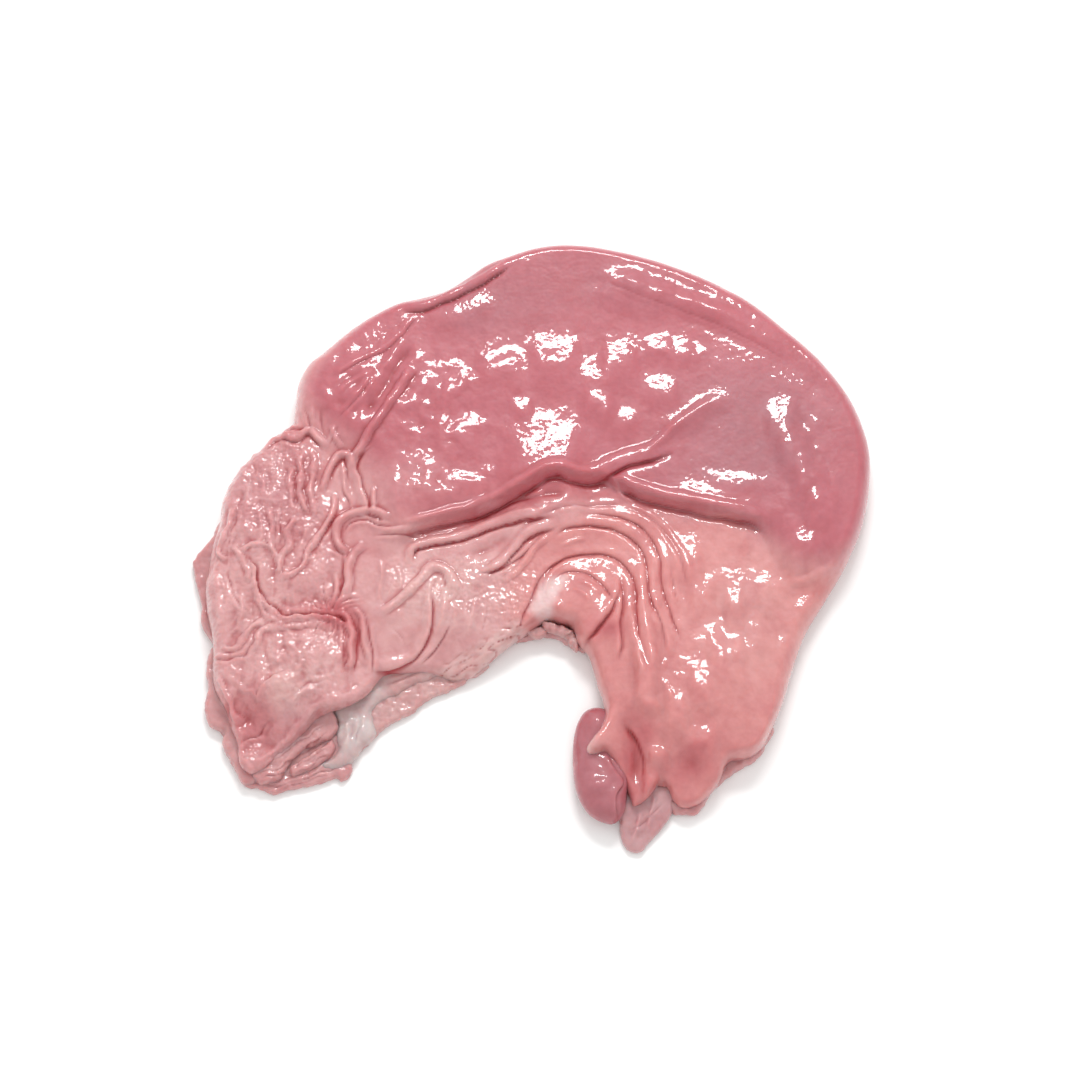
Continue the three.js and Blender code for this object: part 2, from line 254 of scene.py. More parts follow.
class Relief:
    """What the folds add to a set of places: a shift in plan and a height."""

    def __init__(self, x, y):
        lobe = lobe_share(x, y)
        wander = WANDER + LOBE_WANDER * lobe
        self.unevenness = UNEVEN + LOBE_UNEVEN * lobe
        self.x = x + wander * grain(x, y, 5.5, 41)
        self.y = y + wander * grain(x, y, 5.5, 42)
        self.shift_x = np.zeros(len(x))
        self.shift_y = np.zeros(len(x))
        self.height = np.zeros(len(x))
        self.laid = 0

    def lay(self, kind, half_width, height, points, ends=2.2):
        """Lays one fold, a little uneven; it fades over its ends, so many half-widths long."""
        route = smooth_line(points)
        widths = half_width if isinstance(half_width, tuple) else (half_width, half_width)
        heights = height if isinstance(height, tuple) else (height, height)
        reach = FOLD_ROOM * SECTION_REACH[kind] * max(widths)
        low, high = route.min(0) - reach, route.max(0) + reach
        close = (self.x > low[0]) & (self.x < high[0]) & (self.y > low[1]) & (self.y < high[1])
        at = np.flatnonzero(close)
        self.laid += 1
        if not len(at):
            return
        gap, share, gap_x, gap_y, along_x, along_y = nearest(route, self.x[at], self.y[at])
        side = np.where(along_x * gap_y - along_y * gap_x >= 0, 1.0, -1.0)
        length = len(route) * LINE_STEP
        run = share * length
        width = widths[0] + (widths[1] - widths[0]) * share
        width = width * (1 + WIDTH_NOISE * self.unevenness[at] * grain(run, run * 0, 7, self.laid))
        fade = smooth(np.minimum(share, 1 - share) * length / (ends * width))
        fade = fade * (1 + FADE_NOISE * self.unevenness[at] * grain(run, run * 0, 9, 60 + self.laid))
        across = side * gap / width
        shift_curve, height_curve = SECTION_CURVES[kind]
        shift = np.interp(across, *shift_curve.T) * width * np.minimum(fade, 1)
        self.shift_x[at] -= shift * along_y
        self.shift_y[at] += shift * along_x
        rise = heights[0] + (heights[1] - heights[0]) * share
        self.height[at] += np.interp(across, *height_curve.T) * rise * fade

    def lay_all(self, folds):
        """Lays a list of folds in its order, which also numbers their noise."""
        for fold in folds:
            self.lay(*fold)


# Pillows


def even(height):
    """A crown, floor or reach that is the same all over."""
    return lambda x, y: np.full(len(x), float(height))


class Pillow:
    """An outline with a rounded edge, a crown and an underside; ragged is how far it is torn."""

    def __init__(self, outline, reach, crown, relief, waist=0.36, floor=even(0), ragged=0):
        self.line = smooth_line(outline, closed=True)
        self.reach = reach
        self.crown = crown
        self.waist = waist
        self.floor = floor
        self.relief = relief
        if ragged:
            along = np.roll(self.line, -1, 0) - np.roll(self.line, 1, 0)
            along /= np.linalg.norm(along, axis=1)[:, None]
            x, y = self.line.T
            tear = grain(x, y, 5, 51) + 0.6 * grain(x, y, 2.2, 52)
            self.line = self.line + ragged * tear[:, None] * np.stack([along[:, 1], -along[:, 0]], axis=1)


def spaced(low, high, spacing):
    """Places from low to high, whose spacing may change on the way."""
    places = [low]
    while places[-1] < high:
        places.append(places[-1] + spacing(places[-1]))
    return np.array(places)


GRID_MARGIN = 8  # how far the grid goes past the outline
SNAP = 0.3  # corners closer to the edge than this share of the spacing are moved onto it


def spread_grid(pillow, across, back):
    """A grid cut along the outline, spread so that its outer strip can be bent round the edge."""

    def corner(x, y):
        gap, in_x, in_y = edge_distance(pillow.line, x, y)
        run = gap + pillow.reach(x, y) * (math.pi / 2 - 1)
        return np.stack([x, y, gap, in_x, in_y, run], axis=1)

    def on_edge(corners):
        for _ in range(2):
            by = corners[:, 5]
            corners = corner(corners[:, 0] - corners[:, 3] * by, corners[:, 1] - corners[:, 4] * by)
        corners[:, 5] = 0
        return corners

    low, high = pillow.line.min(0) - GRID_MARGIN, pillow.line.max(0) + GRID_MARGIN
    grid_x, grid_y = np.meshgrid(spaced(low[0], high[0], across), spaced(low[1], high[1], back))
    rows, columns = grid_x.shape
    corners = corner(grid_x.ravel(), grid_y.ravel())
    close = np.abs(corners[:, 5]) < SNAP * across(0)
    corners[close] = on_edge(corners[close])
    run = corners[:, 5]
    index = np.arange(columns * rows).reshape(rows, columns)
    pairs = np.vstack([
        np.stack([index[:, :-1].ravel(), index[:, 1:].ravel()], axis=1),
        np.stack([index[:-1].ravel(), index[1:].ravel()], axis=1),
    ])
    pairs = pairs[run[pairs[:, 0]] * run[pairs[:, 1]] < 0]
    t = (run[pairs[:, 0]] / (run[pairs[:, 0]] - run[pairs[:, 1]]))[:, None]
    cut = corners[pairs[:, 0], :2] * (1 - t) + corners[pairs[:, 1], :2] * t
    cut_at = {(int(a), int(b)): len(corners) + k for k, (a, b) in enumerate(pairs)}
    corners = np.vstack([corners, on_edge(corner(cut[:, 0], cut[:, 1]))])
    kept = run >= 0
    cells = np.stack([index[:-1, :-1], index[:-1, 1:], index[1:, 1:], index[1:, :-1]], axis=-1)
    cells = cells.reshape(-1, 4)
    inside = kept[cells].sum(1)
    faces = cells[inside == 4].tolist()
    for cell in cells[(inside > 0) & (inside < 4)].tolist():
        face = []
        for at, after in zip(cell, cell[1:] + cell[:1]):
            if kept[at]:
                face.append(at)
            key = (min(at, after), max(at, after))
            if key in cut_at:
                face.append(cut_at[key])
        if len(face) > 2:
            faces.append(face)
    used = np.unique([at for face in faces for at in face])
    renumber = np.full(len(corners), -1)
    renumber[used] = np.arange(len(used))
    return corners[used], [[int(renumber[at]) for at in face] for face in faces]


def bent_places(pillow, corners):
    """Where the corners of the spread grid lie in plan, how far up the edge, and the slope."""
    x, y, gap, in_x, in_y, run = corners.T
    reach = pillow.reach(x, y)
    turn = np.clip(run / reach, 0, math.pi / 2)
    bent = np.where(turn < math.pi / 2, reach * (1 - np.cos(turn)), gap)
    x = x + in_x * (bent - gap)
    y = y + in_y * (bent - gap)
    out = np.cos(turn)
    return x, y, np.sin(turn), -in_x * out, -in_y * out


UNDER_TURNS = (0.35, 0.7, 1.0)  # how far round each ring under the edge lies, in quarter turns


def pillow_mesh(name, pillow, across, back):
    """The closed mesh of a pillow, with its plan places kept for colouring."""
    corners, faces = spread_grid(pillow, across, back)
    x, y, rise, out_x, out_y = bent_places(pillow, corners)
    top, low = pillow.crown(x, y), pillow.floor(x, y)
    waist = low + pillow.waist * (top - low)
    relief = Relief(x, y)
    pillow.relief(relief, x, y)
    lift = relief.height * np.clip(rise * 2, 0, 1)
    skin = np.stack([
        x + relief.shift_x * rise + out_x * lift,
        y + relief.shift_y * rise + out_y * lift,
        waist + (top - waist) * rise + lift * rise,
    ], axis=1)
    mesh = bpy.data.meshes.new(name)
    mesh.from_pydata(skin * MM, [], faces)
    form = bmesh.new()
    form.from_mesh(mesh)
    form.verts.ensure_lookup_table()
    close_underside(form, pillow, corners, waist, low)
    bmesh.ops.recalc_face_normals(form, faces=form.faces)
    for face in form.faces:
        face.smooth = True
    form.to_mesh(mesh)
    form.free()
    return mesh, x, y, relief


def close_underside(form, pillow, corners, waist, low):
    """Rounds the skin's lower edge in under itself, and fills it flat on the table.

    The fill leaves left_flap, white_tissue and notch_shred_0 open below, where nothing shows.
    """
    rim = [edge for edge in form.edges if edge.is_boundary]
    ring = {vert: vert.index for edge in rim for vert in edge.verts}
    reach = pillow.reach(corners[:, 0], corners[:, 1])
    edges = rim
    for turn in UNDER_TURNS:
        grown = bmesh.ops.extrude_edge_only(form, edges=edges)["geom"]
        verts = [item for item in grown if isinstance(item, bmesh.types.BMVert)]
        edges = [item for item in grown if isinstance(item, bmesh.types.BMEdge) and item.is_boundary]
        angle = turn * math.pi / 2
        source = {tuple(np.round(vert.co, 9)): at for vert, at in ring.items()}
        ring = {vert: source[tuple(np.round(vert.co, 9))] for vert in verts}
        for vert, at in ring.items():
            inset = reach[at] * (1 - math.cos(angle))
            gap = corners[at, 2]
            vert.co.x = (corners[at, 0] + corners[at, 3] * (inset - gap)) * MM
            vert.co.y = (corners[at, 1] + corners[at, 4] * (inset - gap)) * MM
            vert.co.z = (waist[at] - (waist[at] - low[at]) * math.sin(angle)) * MM
    bmesh.ops.triangle_fill(form, edges=edges, use_beauty=False, normal=(0, 0, -1))


MEAN_SPACING = 1.5  # spacing of the places that a mean height is taken from
MEAN_REACH = 3  # how many radii out they go


def heights_near(pillow, x, y, radius):
    """The mean height of a pillow's skin round each place, out to about the radius."""
    spacing = MEAN_SPACING
    low = pillow.line.min(0) - MEAN_REACH * radius
    high = pillow.line.max(0) + MEAN_REACH * radius
    columns, rows = (np.ceil((high - low) / spacing).astype(int) + 1).tolist()
    grid_x, grid_y = np.meshgrid(low[0] + spacing * np.arange(columns), low[1] + spacing * np.arange(rows))
    relief = Relief(grid_x.ravel(), grid_y.ravel())
    pillow.relief(relief, grid_x.ravel(), grid_y.ravel())
    field = relief.height.reshape(rows, columns)
    reach = int(MEAN_REACH * radius / spacing)
    weights = np.exp(-((np.arange(-reach, reach + 1) * spacing / radius) ** 2))
    weights /= weights.sum()
    for axis in (0, 1):
        field = np.apply_along_axis(np.convolve, axis, field, weights, mode="same")
    u = (x - low[0]) / spacing
    v = (y - low[1]) / spacing
    column = np.clip(u.astype(int), 0, columns - 2)
    row = np.clip(v.astype(int), 0, rows - 2)
    u, v = u - column, v - row
    return (
        field[row, column] * (1 - u) * (1 - v)
        + field[row, column + 1] * u * (1 - v)
        + field[row + 1, column] * (1 - u) * v
        + field[row + 1, column + 1] * u * v
    )


# The stomach's form

# Its upper wall's edge, from the left lobe's outer side, clockwise from above
STOMACH_OUTLINE = [
    (-141, -12), (-140, -3), (-137.5, 5), (-136.5, 17), (-132, 28), (-124, 38), (-116, 46), (-111, 50.5),
    (-107, 53), (-106, 58), (-105.5, 65), (-104, 75), (-100, 82), (-93, 88), (-83, 98), (-72, 106),
    (-62, 111), (-50, 114), (-39, 118), (-31, 123), (-21, 130), (-10, 134.5), (0, 138), (14, 139.5),
    (27, 138.5), (41, 136), (62, 130), (83, 120.5), (100, 110), (114, 98), (126, 86), (138, 70),
    (145, 55), (148.5, 38), (148, 24), (144.5, 7), (138, -9), (127, -28), (118, -43), (112, -59),
    (107, -75), (103.5, -83.4), (100.5, -89.7), (98, -94), (94, -97.5), (88.5, -99.2),
    (84, -100), (82, -102.5), (80.5, -106.5), (78.5, -110.5), (73.5, -116), (68.5, -119.5), (63, -120),
    (59.5, -117), (57.5, -112), (54.5, -109.5), (51.5, -113.1), (48.5, -116.7), (46, -118.5), (43, -119.8),
    (41, -115.3),
    (39, -110.4), (36, -105.9), (33, -100.5), (30.5, -97.3), (27, -98.7), (23.5, -98.7), (22.8, -96.5),
    (25, -92), (28.5, -87), (30.5, -81.6), (30, -73), (28, -67), (26, -59), (23.5, -52), (19.5, -47.5),
    (18, -43), (16.5, -40.5), (12, -39), (7, -37.5), (2, -40), (-4, -44), (-10.5, -48.5), (-20.5, -57),
    (-27, -62), (-34, -63.5), (-42, -61), (-50, -60.5), (-58, -61), (-64, -62), (-67, -65.5),
    (-70, -70), (-76.5, -75), (-82, -77.5), (-88, -79.3), (-92.5, -82), (-97, -87), (-101, -91.5),
    (-106, -96), (-111.5, -100.5), (-116, -104.5), (-120, -105.9), (-124, -102.8), (-125.5, -97.8),
    (-126, -93.3), (-129.5, -84.3), (-131.5, -78), (-136.5, -68.5), (-138, -62), (-137.5, -54),
    (-138.5, -45), (-140.5, -36.5), (-142, -27), (-142, -20),
]

# Where the body lies higher than the wall beside it: down to its long fold and its lower lip
RAISED_REGION = [
    (-60, 118), (-88, 86), (-98, 66), (-88, 50), (-76, 36), (-68, 20), (-64, 6), (-60, -0.5), (-48, 3.2),
    (-36, 6.6), (-27, 9), (-17.5, 12.8), (-10.5, 16.6), (-4, 20.4), (1.5, 24), (7, 26.6), (12, 27),
    (17.5, 25.6), (23, 25), (30, 25.8), (36, 23.6), (41, 20.6), (52.5, 16.1), (67.5, 12.2), (85, 8.1),
    (101, 2.5), (108, -6), (118, -12), (132, -13), (146, -10), (165, 0), (165, 50), (145, 95), (100, 130),
    (30, 155), (-30, 145),
]

# Where cut connective tissue covers the wall, along the bay
STRIP_REGION = [
    (-56, -70), (-44, -62), (-34, -55), (-22, -48), (-12, -42), (-7, -38), (-4, -42), (-8, -52), (-22, -62),
    (-40, -72),
]

CROWN = 15  # the height of its top, before the mounds
BODY_RISE = 4.5  # the body lies on the folded wall below it
BODY_FALL = 0.015  # how steeply its top falls towards the rim
BODY_MIDDLE = 66  # how far back its top has that rise
STEP_SOFTNESS = 1.9  # half the width of the step at the body's front edge

# Mounds and hollows of its top: place, radius, turn and height
MOUNDS = [
    ((-70, 55), 42, 0, 1.5), ((-112, 0), 40, 0, 5), ((-104, -58), 30, 0, 3), ((24, -33), (12, 13), 0, 3.4),
    ((80, -30), 40, 0, 1.5), ((72, -79.8), 38, 0, 5), ((45, 4), 26, 0, -1.2), ((58, -114), (34, 22), 0, -7),
    ((-112, -101.4), 20, 0, -5), ((-30, -64), (36, 16), 0, -7), ((26, -93.3), (8, 9), 0, 4),
    # smaller ones along the upper left, at the far rim and by the notch
    ((-96, 82), (14, 10), 40, 2.2), ((-74, 66), (9, 7), 30, 1.4), ((-92, 60), (9, 7), 0, 1.4),
    ((-80, 48), (7, 6), 0, 1.2), ((-50, 17), (16, 11), 20, 2.4), ((10, 152), (70, 40), 0, 3.4),
    ((10.5, -33.5), (2, 2.6), 0, 1.3), ((24, -10), (24, 12), 0, -1.6),
]

# How far under its edge the upper wall stays off the table, where other layers lie below it
LIFTED_EDGES = [
    ((-118, -97.8), (30, 24), 5), ((-74, -72), 22, 5), ((50, -117.6), (22, 16), 4.5), ((26, -95.1), 9, 9),
]

# Low cushions of slack flesh whose far sides shine, because they fall away as a wet wall does:
# the far side's middle, its half-width and depth, and its turn
FLANKS = [
    # on the body
    ((6, 44.5), (12.5, 24), -6), ((-5, 61), (3.5, 4.5), 0), ((9, 88), (8, 12), 0), ((28, 78), (6, 9), 0),
    ((39, 88), (6, 10), 0), ((63, 89), (9, 6), -18), ((57, 69), (5, 6), 0), ((30, 62.5), (5, 6), -20),
    ((40, 56.5), (6, 7), -20), ((65, 54.5), (6, 4.5), 20), ((77, 62.5), (6, 4.5), 20),
    ((-36, 19), (6, 3), 0), ((-26, 23.5), (5, 3), 0), ((-15, 29), (5, 3), 0), ((82, 24), (14, 7), -4),
    ((109, 58), (5, 10), 0), ((114, 44), (5, 9), 0), ((120, 30), (5, 9), 0), ((125, 16), (5, 9), 0),
    ((117, -6), (6, 8), 0), ((-14, 84), (7, 11), 10), ((-27, 76), (6, 8), 0), ((-38, 70), (5, 6), 0),
    ((-33, 108.5), (11, 7), 20), ((-36, 50), (8, 9), 0),
    # along the rim
    ((40, 121), (7, 8), -10), ((52, 117), (7, 7), -16), ((64, 113.5), (7, 6), -18),
    ((77, 109.5), (7, 5), -20), ((88, 105.5), (6, 5), -22),
    # in the pocket under the long fold
    ((-6, 12.5), (6, 4), 0), ((9, 17.5), (5, 3.5), 0),
    # on the left lobe and the pale middle
    ((-114, 22), (6, 7), 0), ((-121, 4), (5, 7), 0), ((-86, 12), (4, 6), 0), ((-90, -50), (9, 9), 0),
    ((-62, -33), (4, 4), 0), ((-55, -20), (6, 6), 0), ((-35, -30), (7, 8), 0), ((-128, -30), (4, 5), 0),
    ((-111, -66), (8, 7), 0), ((-28, -19), (5, 4), 0), ((-100, -18), (5, 4), 0),
    # on the pyloric part
    ((63, -4), (7, 8), 0), ((69, -12), (3, 7), 0), ((72.5, -24), (4, 7), 0), ((87, -27), (3, 10), 0),
    ((95.5, -38.5), (3, 5), 0), ((103, -20.5), (5, 6), 0), ((83, -50), (5, 10), 0),
    ((91, -50), (4, 6), 0), ((71.5, -65), (3.4, 9), 0), ((61, -76), (3.4, 10), 0), ((44, -72), (4, 4), 0),
    ((50, -77), (3, 3), 0), ((48, -60), (3, 12), 0), ((48.5, -36), (4, 22), 0), ((71, -90.2), (5, 8), 0),
    ((53.5, -97.3), (3, 4), 0), ((50, -107.7), (2.4, 6), 0),
]
FLANK_FALL = 0.18  # the slope of a far side that mirrors the lamp
LAMP_EASE = 2400  # how far back the slope would ease by 1, because the lamp stands near
HEIGHT_DAMPING = 0.02  # keeps cushions that overlap from growing tall against each other
FLANK_WIDTH, FLANK_DEPTH = 1.35, 0.65  # a cushion's size, as shares of its far side's
FALL_END = 1.25  # where the fall ends, as a share of that depth
RISE_START, RISE_LENGTH = 4, 2.75  # where the near side starts to rise, and over what length


def flank_cushion(x, y, at, size, turn):
    """A cushion of height 1 with level ends; its far side has its middle at the place."""
    along, across = math.cos(math.radians(turn)), math.sin(math.radians(turn))
    u = (x - at[0]) * along + (y - at[1]) * across
    v = (y - at[1]) * along - (x - at[0]) * across
    share = v / (FLANK_DEPTH * size[1])
    sides = np.exp(-((u / (FLANK_WIDTH * size[0])) ** 4))
    fall = smooth((FALL_END - share) / (2 * FALL_END))
    rise = smooth((share + RISE_START) / RISE_LENGTH)
    return sides * fall * rise


def solved_heights():
    """How high each cushion must be for the far sides of all of them to fall as a wet wall's do."""
    x, y = np.array([at for at, _, _ in FLANKS], float).T
    near_y, far_y = y - 1, y + 1
    columns = [flank_cushion(x, near_y, *flank) - flank_cushion(x, far_y, *flank) for flank in FLANKS]
    falls = np.stack(columns, 1)
    wanted = 2 * (FLANK_FALL - y / LAMP_EASE) - (ground_crown(x, near_y) - ground_crown(x, far_y))
    own = np.diag(falls)
    falls = falls / own
    damping = HEIGHT_DAMPING * np.eye(len(FLANKS))
    return np.linalg.solve(falls.T @ falls + damping, falls.T @ wanted) / own


# Where the flesh is slack and uneven all over: place, radius and strength
SLACK_SPOTS = [
    ((-42, 54), (24, 26), 1.0), ((-84, 66), (24, 26), 1.0), ((-48, 22), (20, 9), 0.7),
    ((120, 20), (10, 42), 0.8), ((82, -50), (34, 56), 0.5), ((62, -88.8), (22, 26), 0.4),
    ((-28, -26), (22, 16), 0.8), ((20, 86), (60, 12), 0.35), ((6, 13), (40, 7), 0.9),
    ((66, 86), (22, 8), 0.3), ((6, 46), (16, 16), 0.26), ((-6, 60), (5, 6), 0.5),
    ((36, 58), (12, 12), 0.25), ((64, 114), (36, 8), 0.45), ((24, -17), (18, 9), 0.6),
    ((30, -27), (8, 7), 0.5),
]
# Where it is crinkled, besides the left lobe
CRINKLED_SPOTS = [((-28, -30), (26, 18), 0.8), ((-8, -34), (10, 14), 0.6), ((-56, -22), (14, 14), 0.5)]


def ground_crown(x, y):
    """The crown without the cushions whose heights are solved."""
    mounds = sum(height * bell(x, y, at, radius, turn) for at, radius, turn, height in MOUNDS)
    body = BODY_RISE - BODY_FALL * (y - BODY_MIDDLE)
    # the step fades out past both ends of the folds that it lies under
    softness = STEP_SOFTNESS + 10 * smooth((-50 - x) / 16) + 8 * smooth((x - 96) / 12)
    return CROWN + body * soft_region(RAISED_REGION, x, y, softness) + mounds


FLANK_HEIGHTS = solved_heights()


def stomach_crown(x, y):
    """The height of its top, without the folds."""
    flanks = sum(height * flank_cushion(x, y, *flank) for flank, height in zip(FLANKS, FLANK_HEIGHTS))
    return ground_crown(x, y) + flanks


def stomach_floor(x, y):
    """How far its underside stays off the table."""
    return sum(height * bell(x, y, at, radius) for at, radius, height in LIFTED_EDGES)


BROAD_EDGE, THIN_EDGE = 6.5, 3.0


def stomach_reach(x, y):
    """The edge is broad round the body, and thin at the tail, the bay and the cut pylorus."""
    thin = np.maximum(smooth((-62 - y) / 26), bell(x, y, (-20, -52), (52, 22)))
    return BROAD_EDGE + (THIN_EDGE - BROAD_EDGE) * thin


def lobe_share(x, y):
    """How much a place belongs to the crinkled left lobe."""
    border = -74 - 0.25 * (y + 30)
    return smooth((border + 4 * grain(x, y, 15, 21) - x) / 14)


def crinkles(x, y, warp):
    """Thin ridges in a loose net, as a shrunken lining has."""
    upright = np.abs(grain(1.6 * (x + warp), 0.8 * y, 10, 7))
    slanting = np.abs(grain(x + y, y - 0.6 * x - warp, 11, 8))
    return 0.3 * np.exp(-((upright / 0.1) ** 2)) + 0.2 * np.exp(-((slanting / 0.09) ** 2))


def stomach_relief(relief, x, y):
    """Its folds, and the finer unevenness of each part."""
    for folds in (LOBE_FOLDS, MIDDLE_FOLDS, BODY_FOLDS, ARC_FOLDS, PYLORIC_FOLDS):
        relief.lay_all(folds)
    lobe = lobe_share(x, y)
    warp = 6 * grain(x, y, 23, 3)
    puckers = np.abs(grain(1.9 * (x + warp), y, 21, 5))
    # the lobe's puckers, with ripples of two sizes on them
    relief.height += lobe * (
        1.1 * puckers - 0.4 + 0.5 * grain(1.3 * x, y, 6.5, 9) + 0.22 * grain(x, y, 3.1, 10)
    )
    slack = spots(x, y, SLACK_SPOTS)
    relief.height += slack * (0.8 * grain(1.3 * x, y, 9, 16) + 0.27 * grain(x, y, 3.6, 17))
    crinkled = np.maximum(lobe * (0.7 + 0.3 * grain(x, y, 18, 11)), spots(x, y, CRINKLED_SPOTS))
    relief.height += 1.25 * crinkled * crinkles(x, y, warp)
    # fibres and clefts of the connective tissue along the bay
    fibres = soft_region(STRIP_REGION, x, y, 2)
    strands = grain(x + 0.5 * y, 2 * y - x, 3.6, 18)
    wrinkle = grain(0.5 * x + 0.3 * y, 1.6 * y - 0.8 * x, 6, 19)
    relief.height += fibres * (0.5 * strands - 0.8 * np.exp(-((wrinkle / 0.07) ** 2)))
    # no part of a wet wall is quite level
    relief.height += 0.4 * grain(x, y, 26, 12) + 0.12 * grain(x, y, 12, 14) + 0.03 * grain(x, y, 5.5, 15)


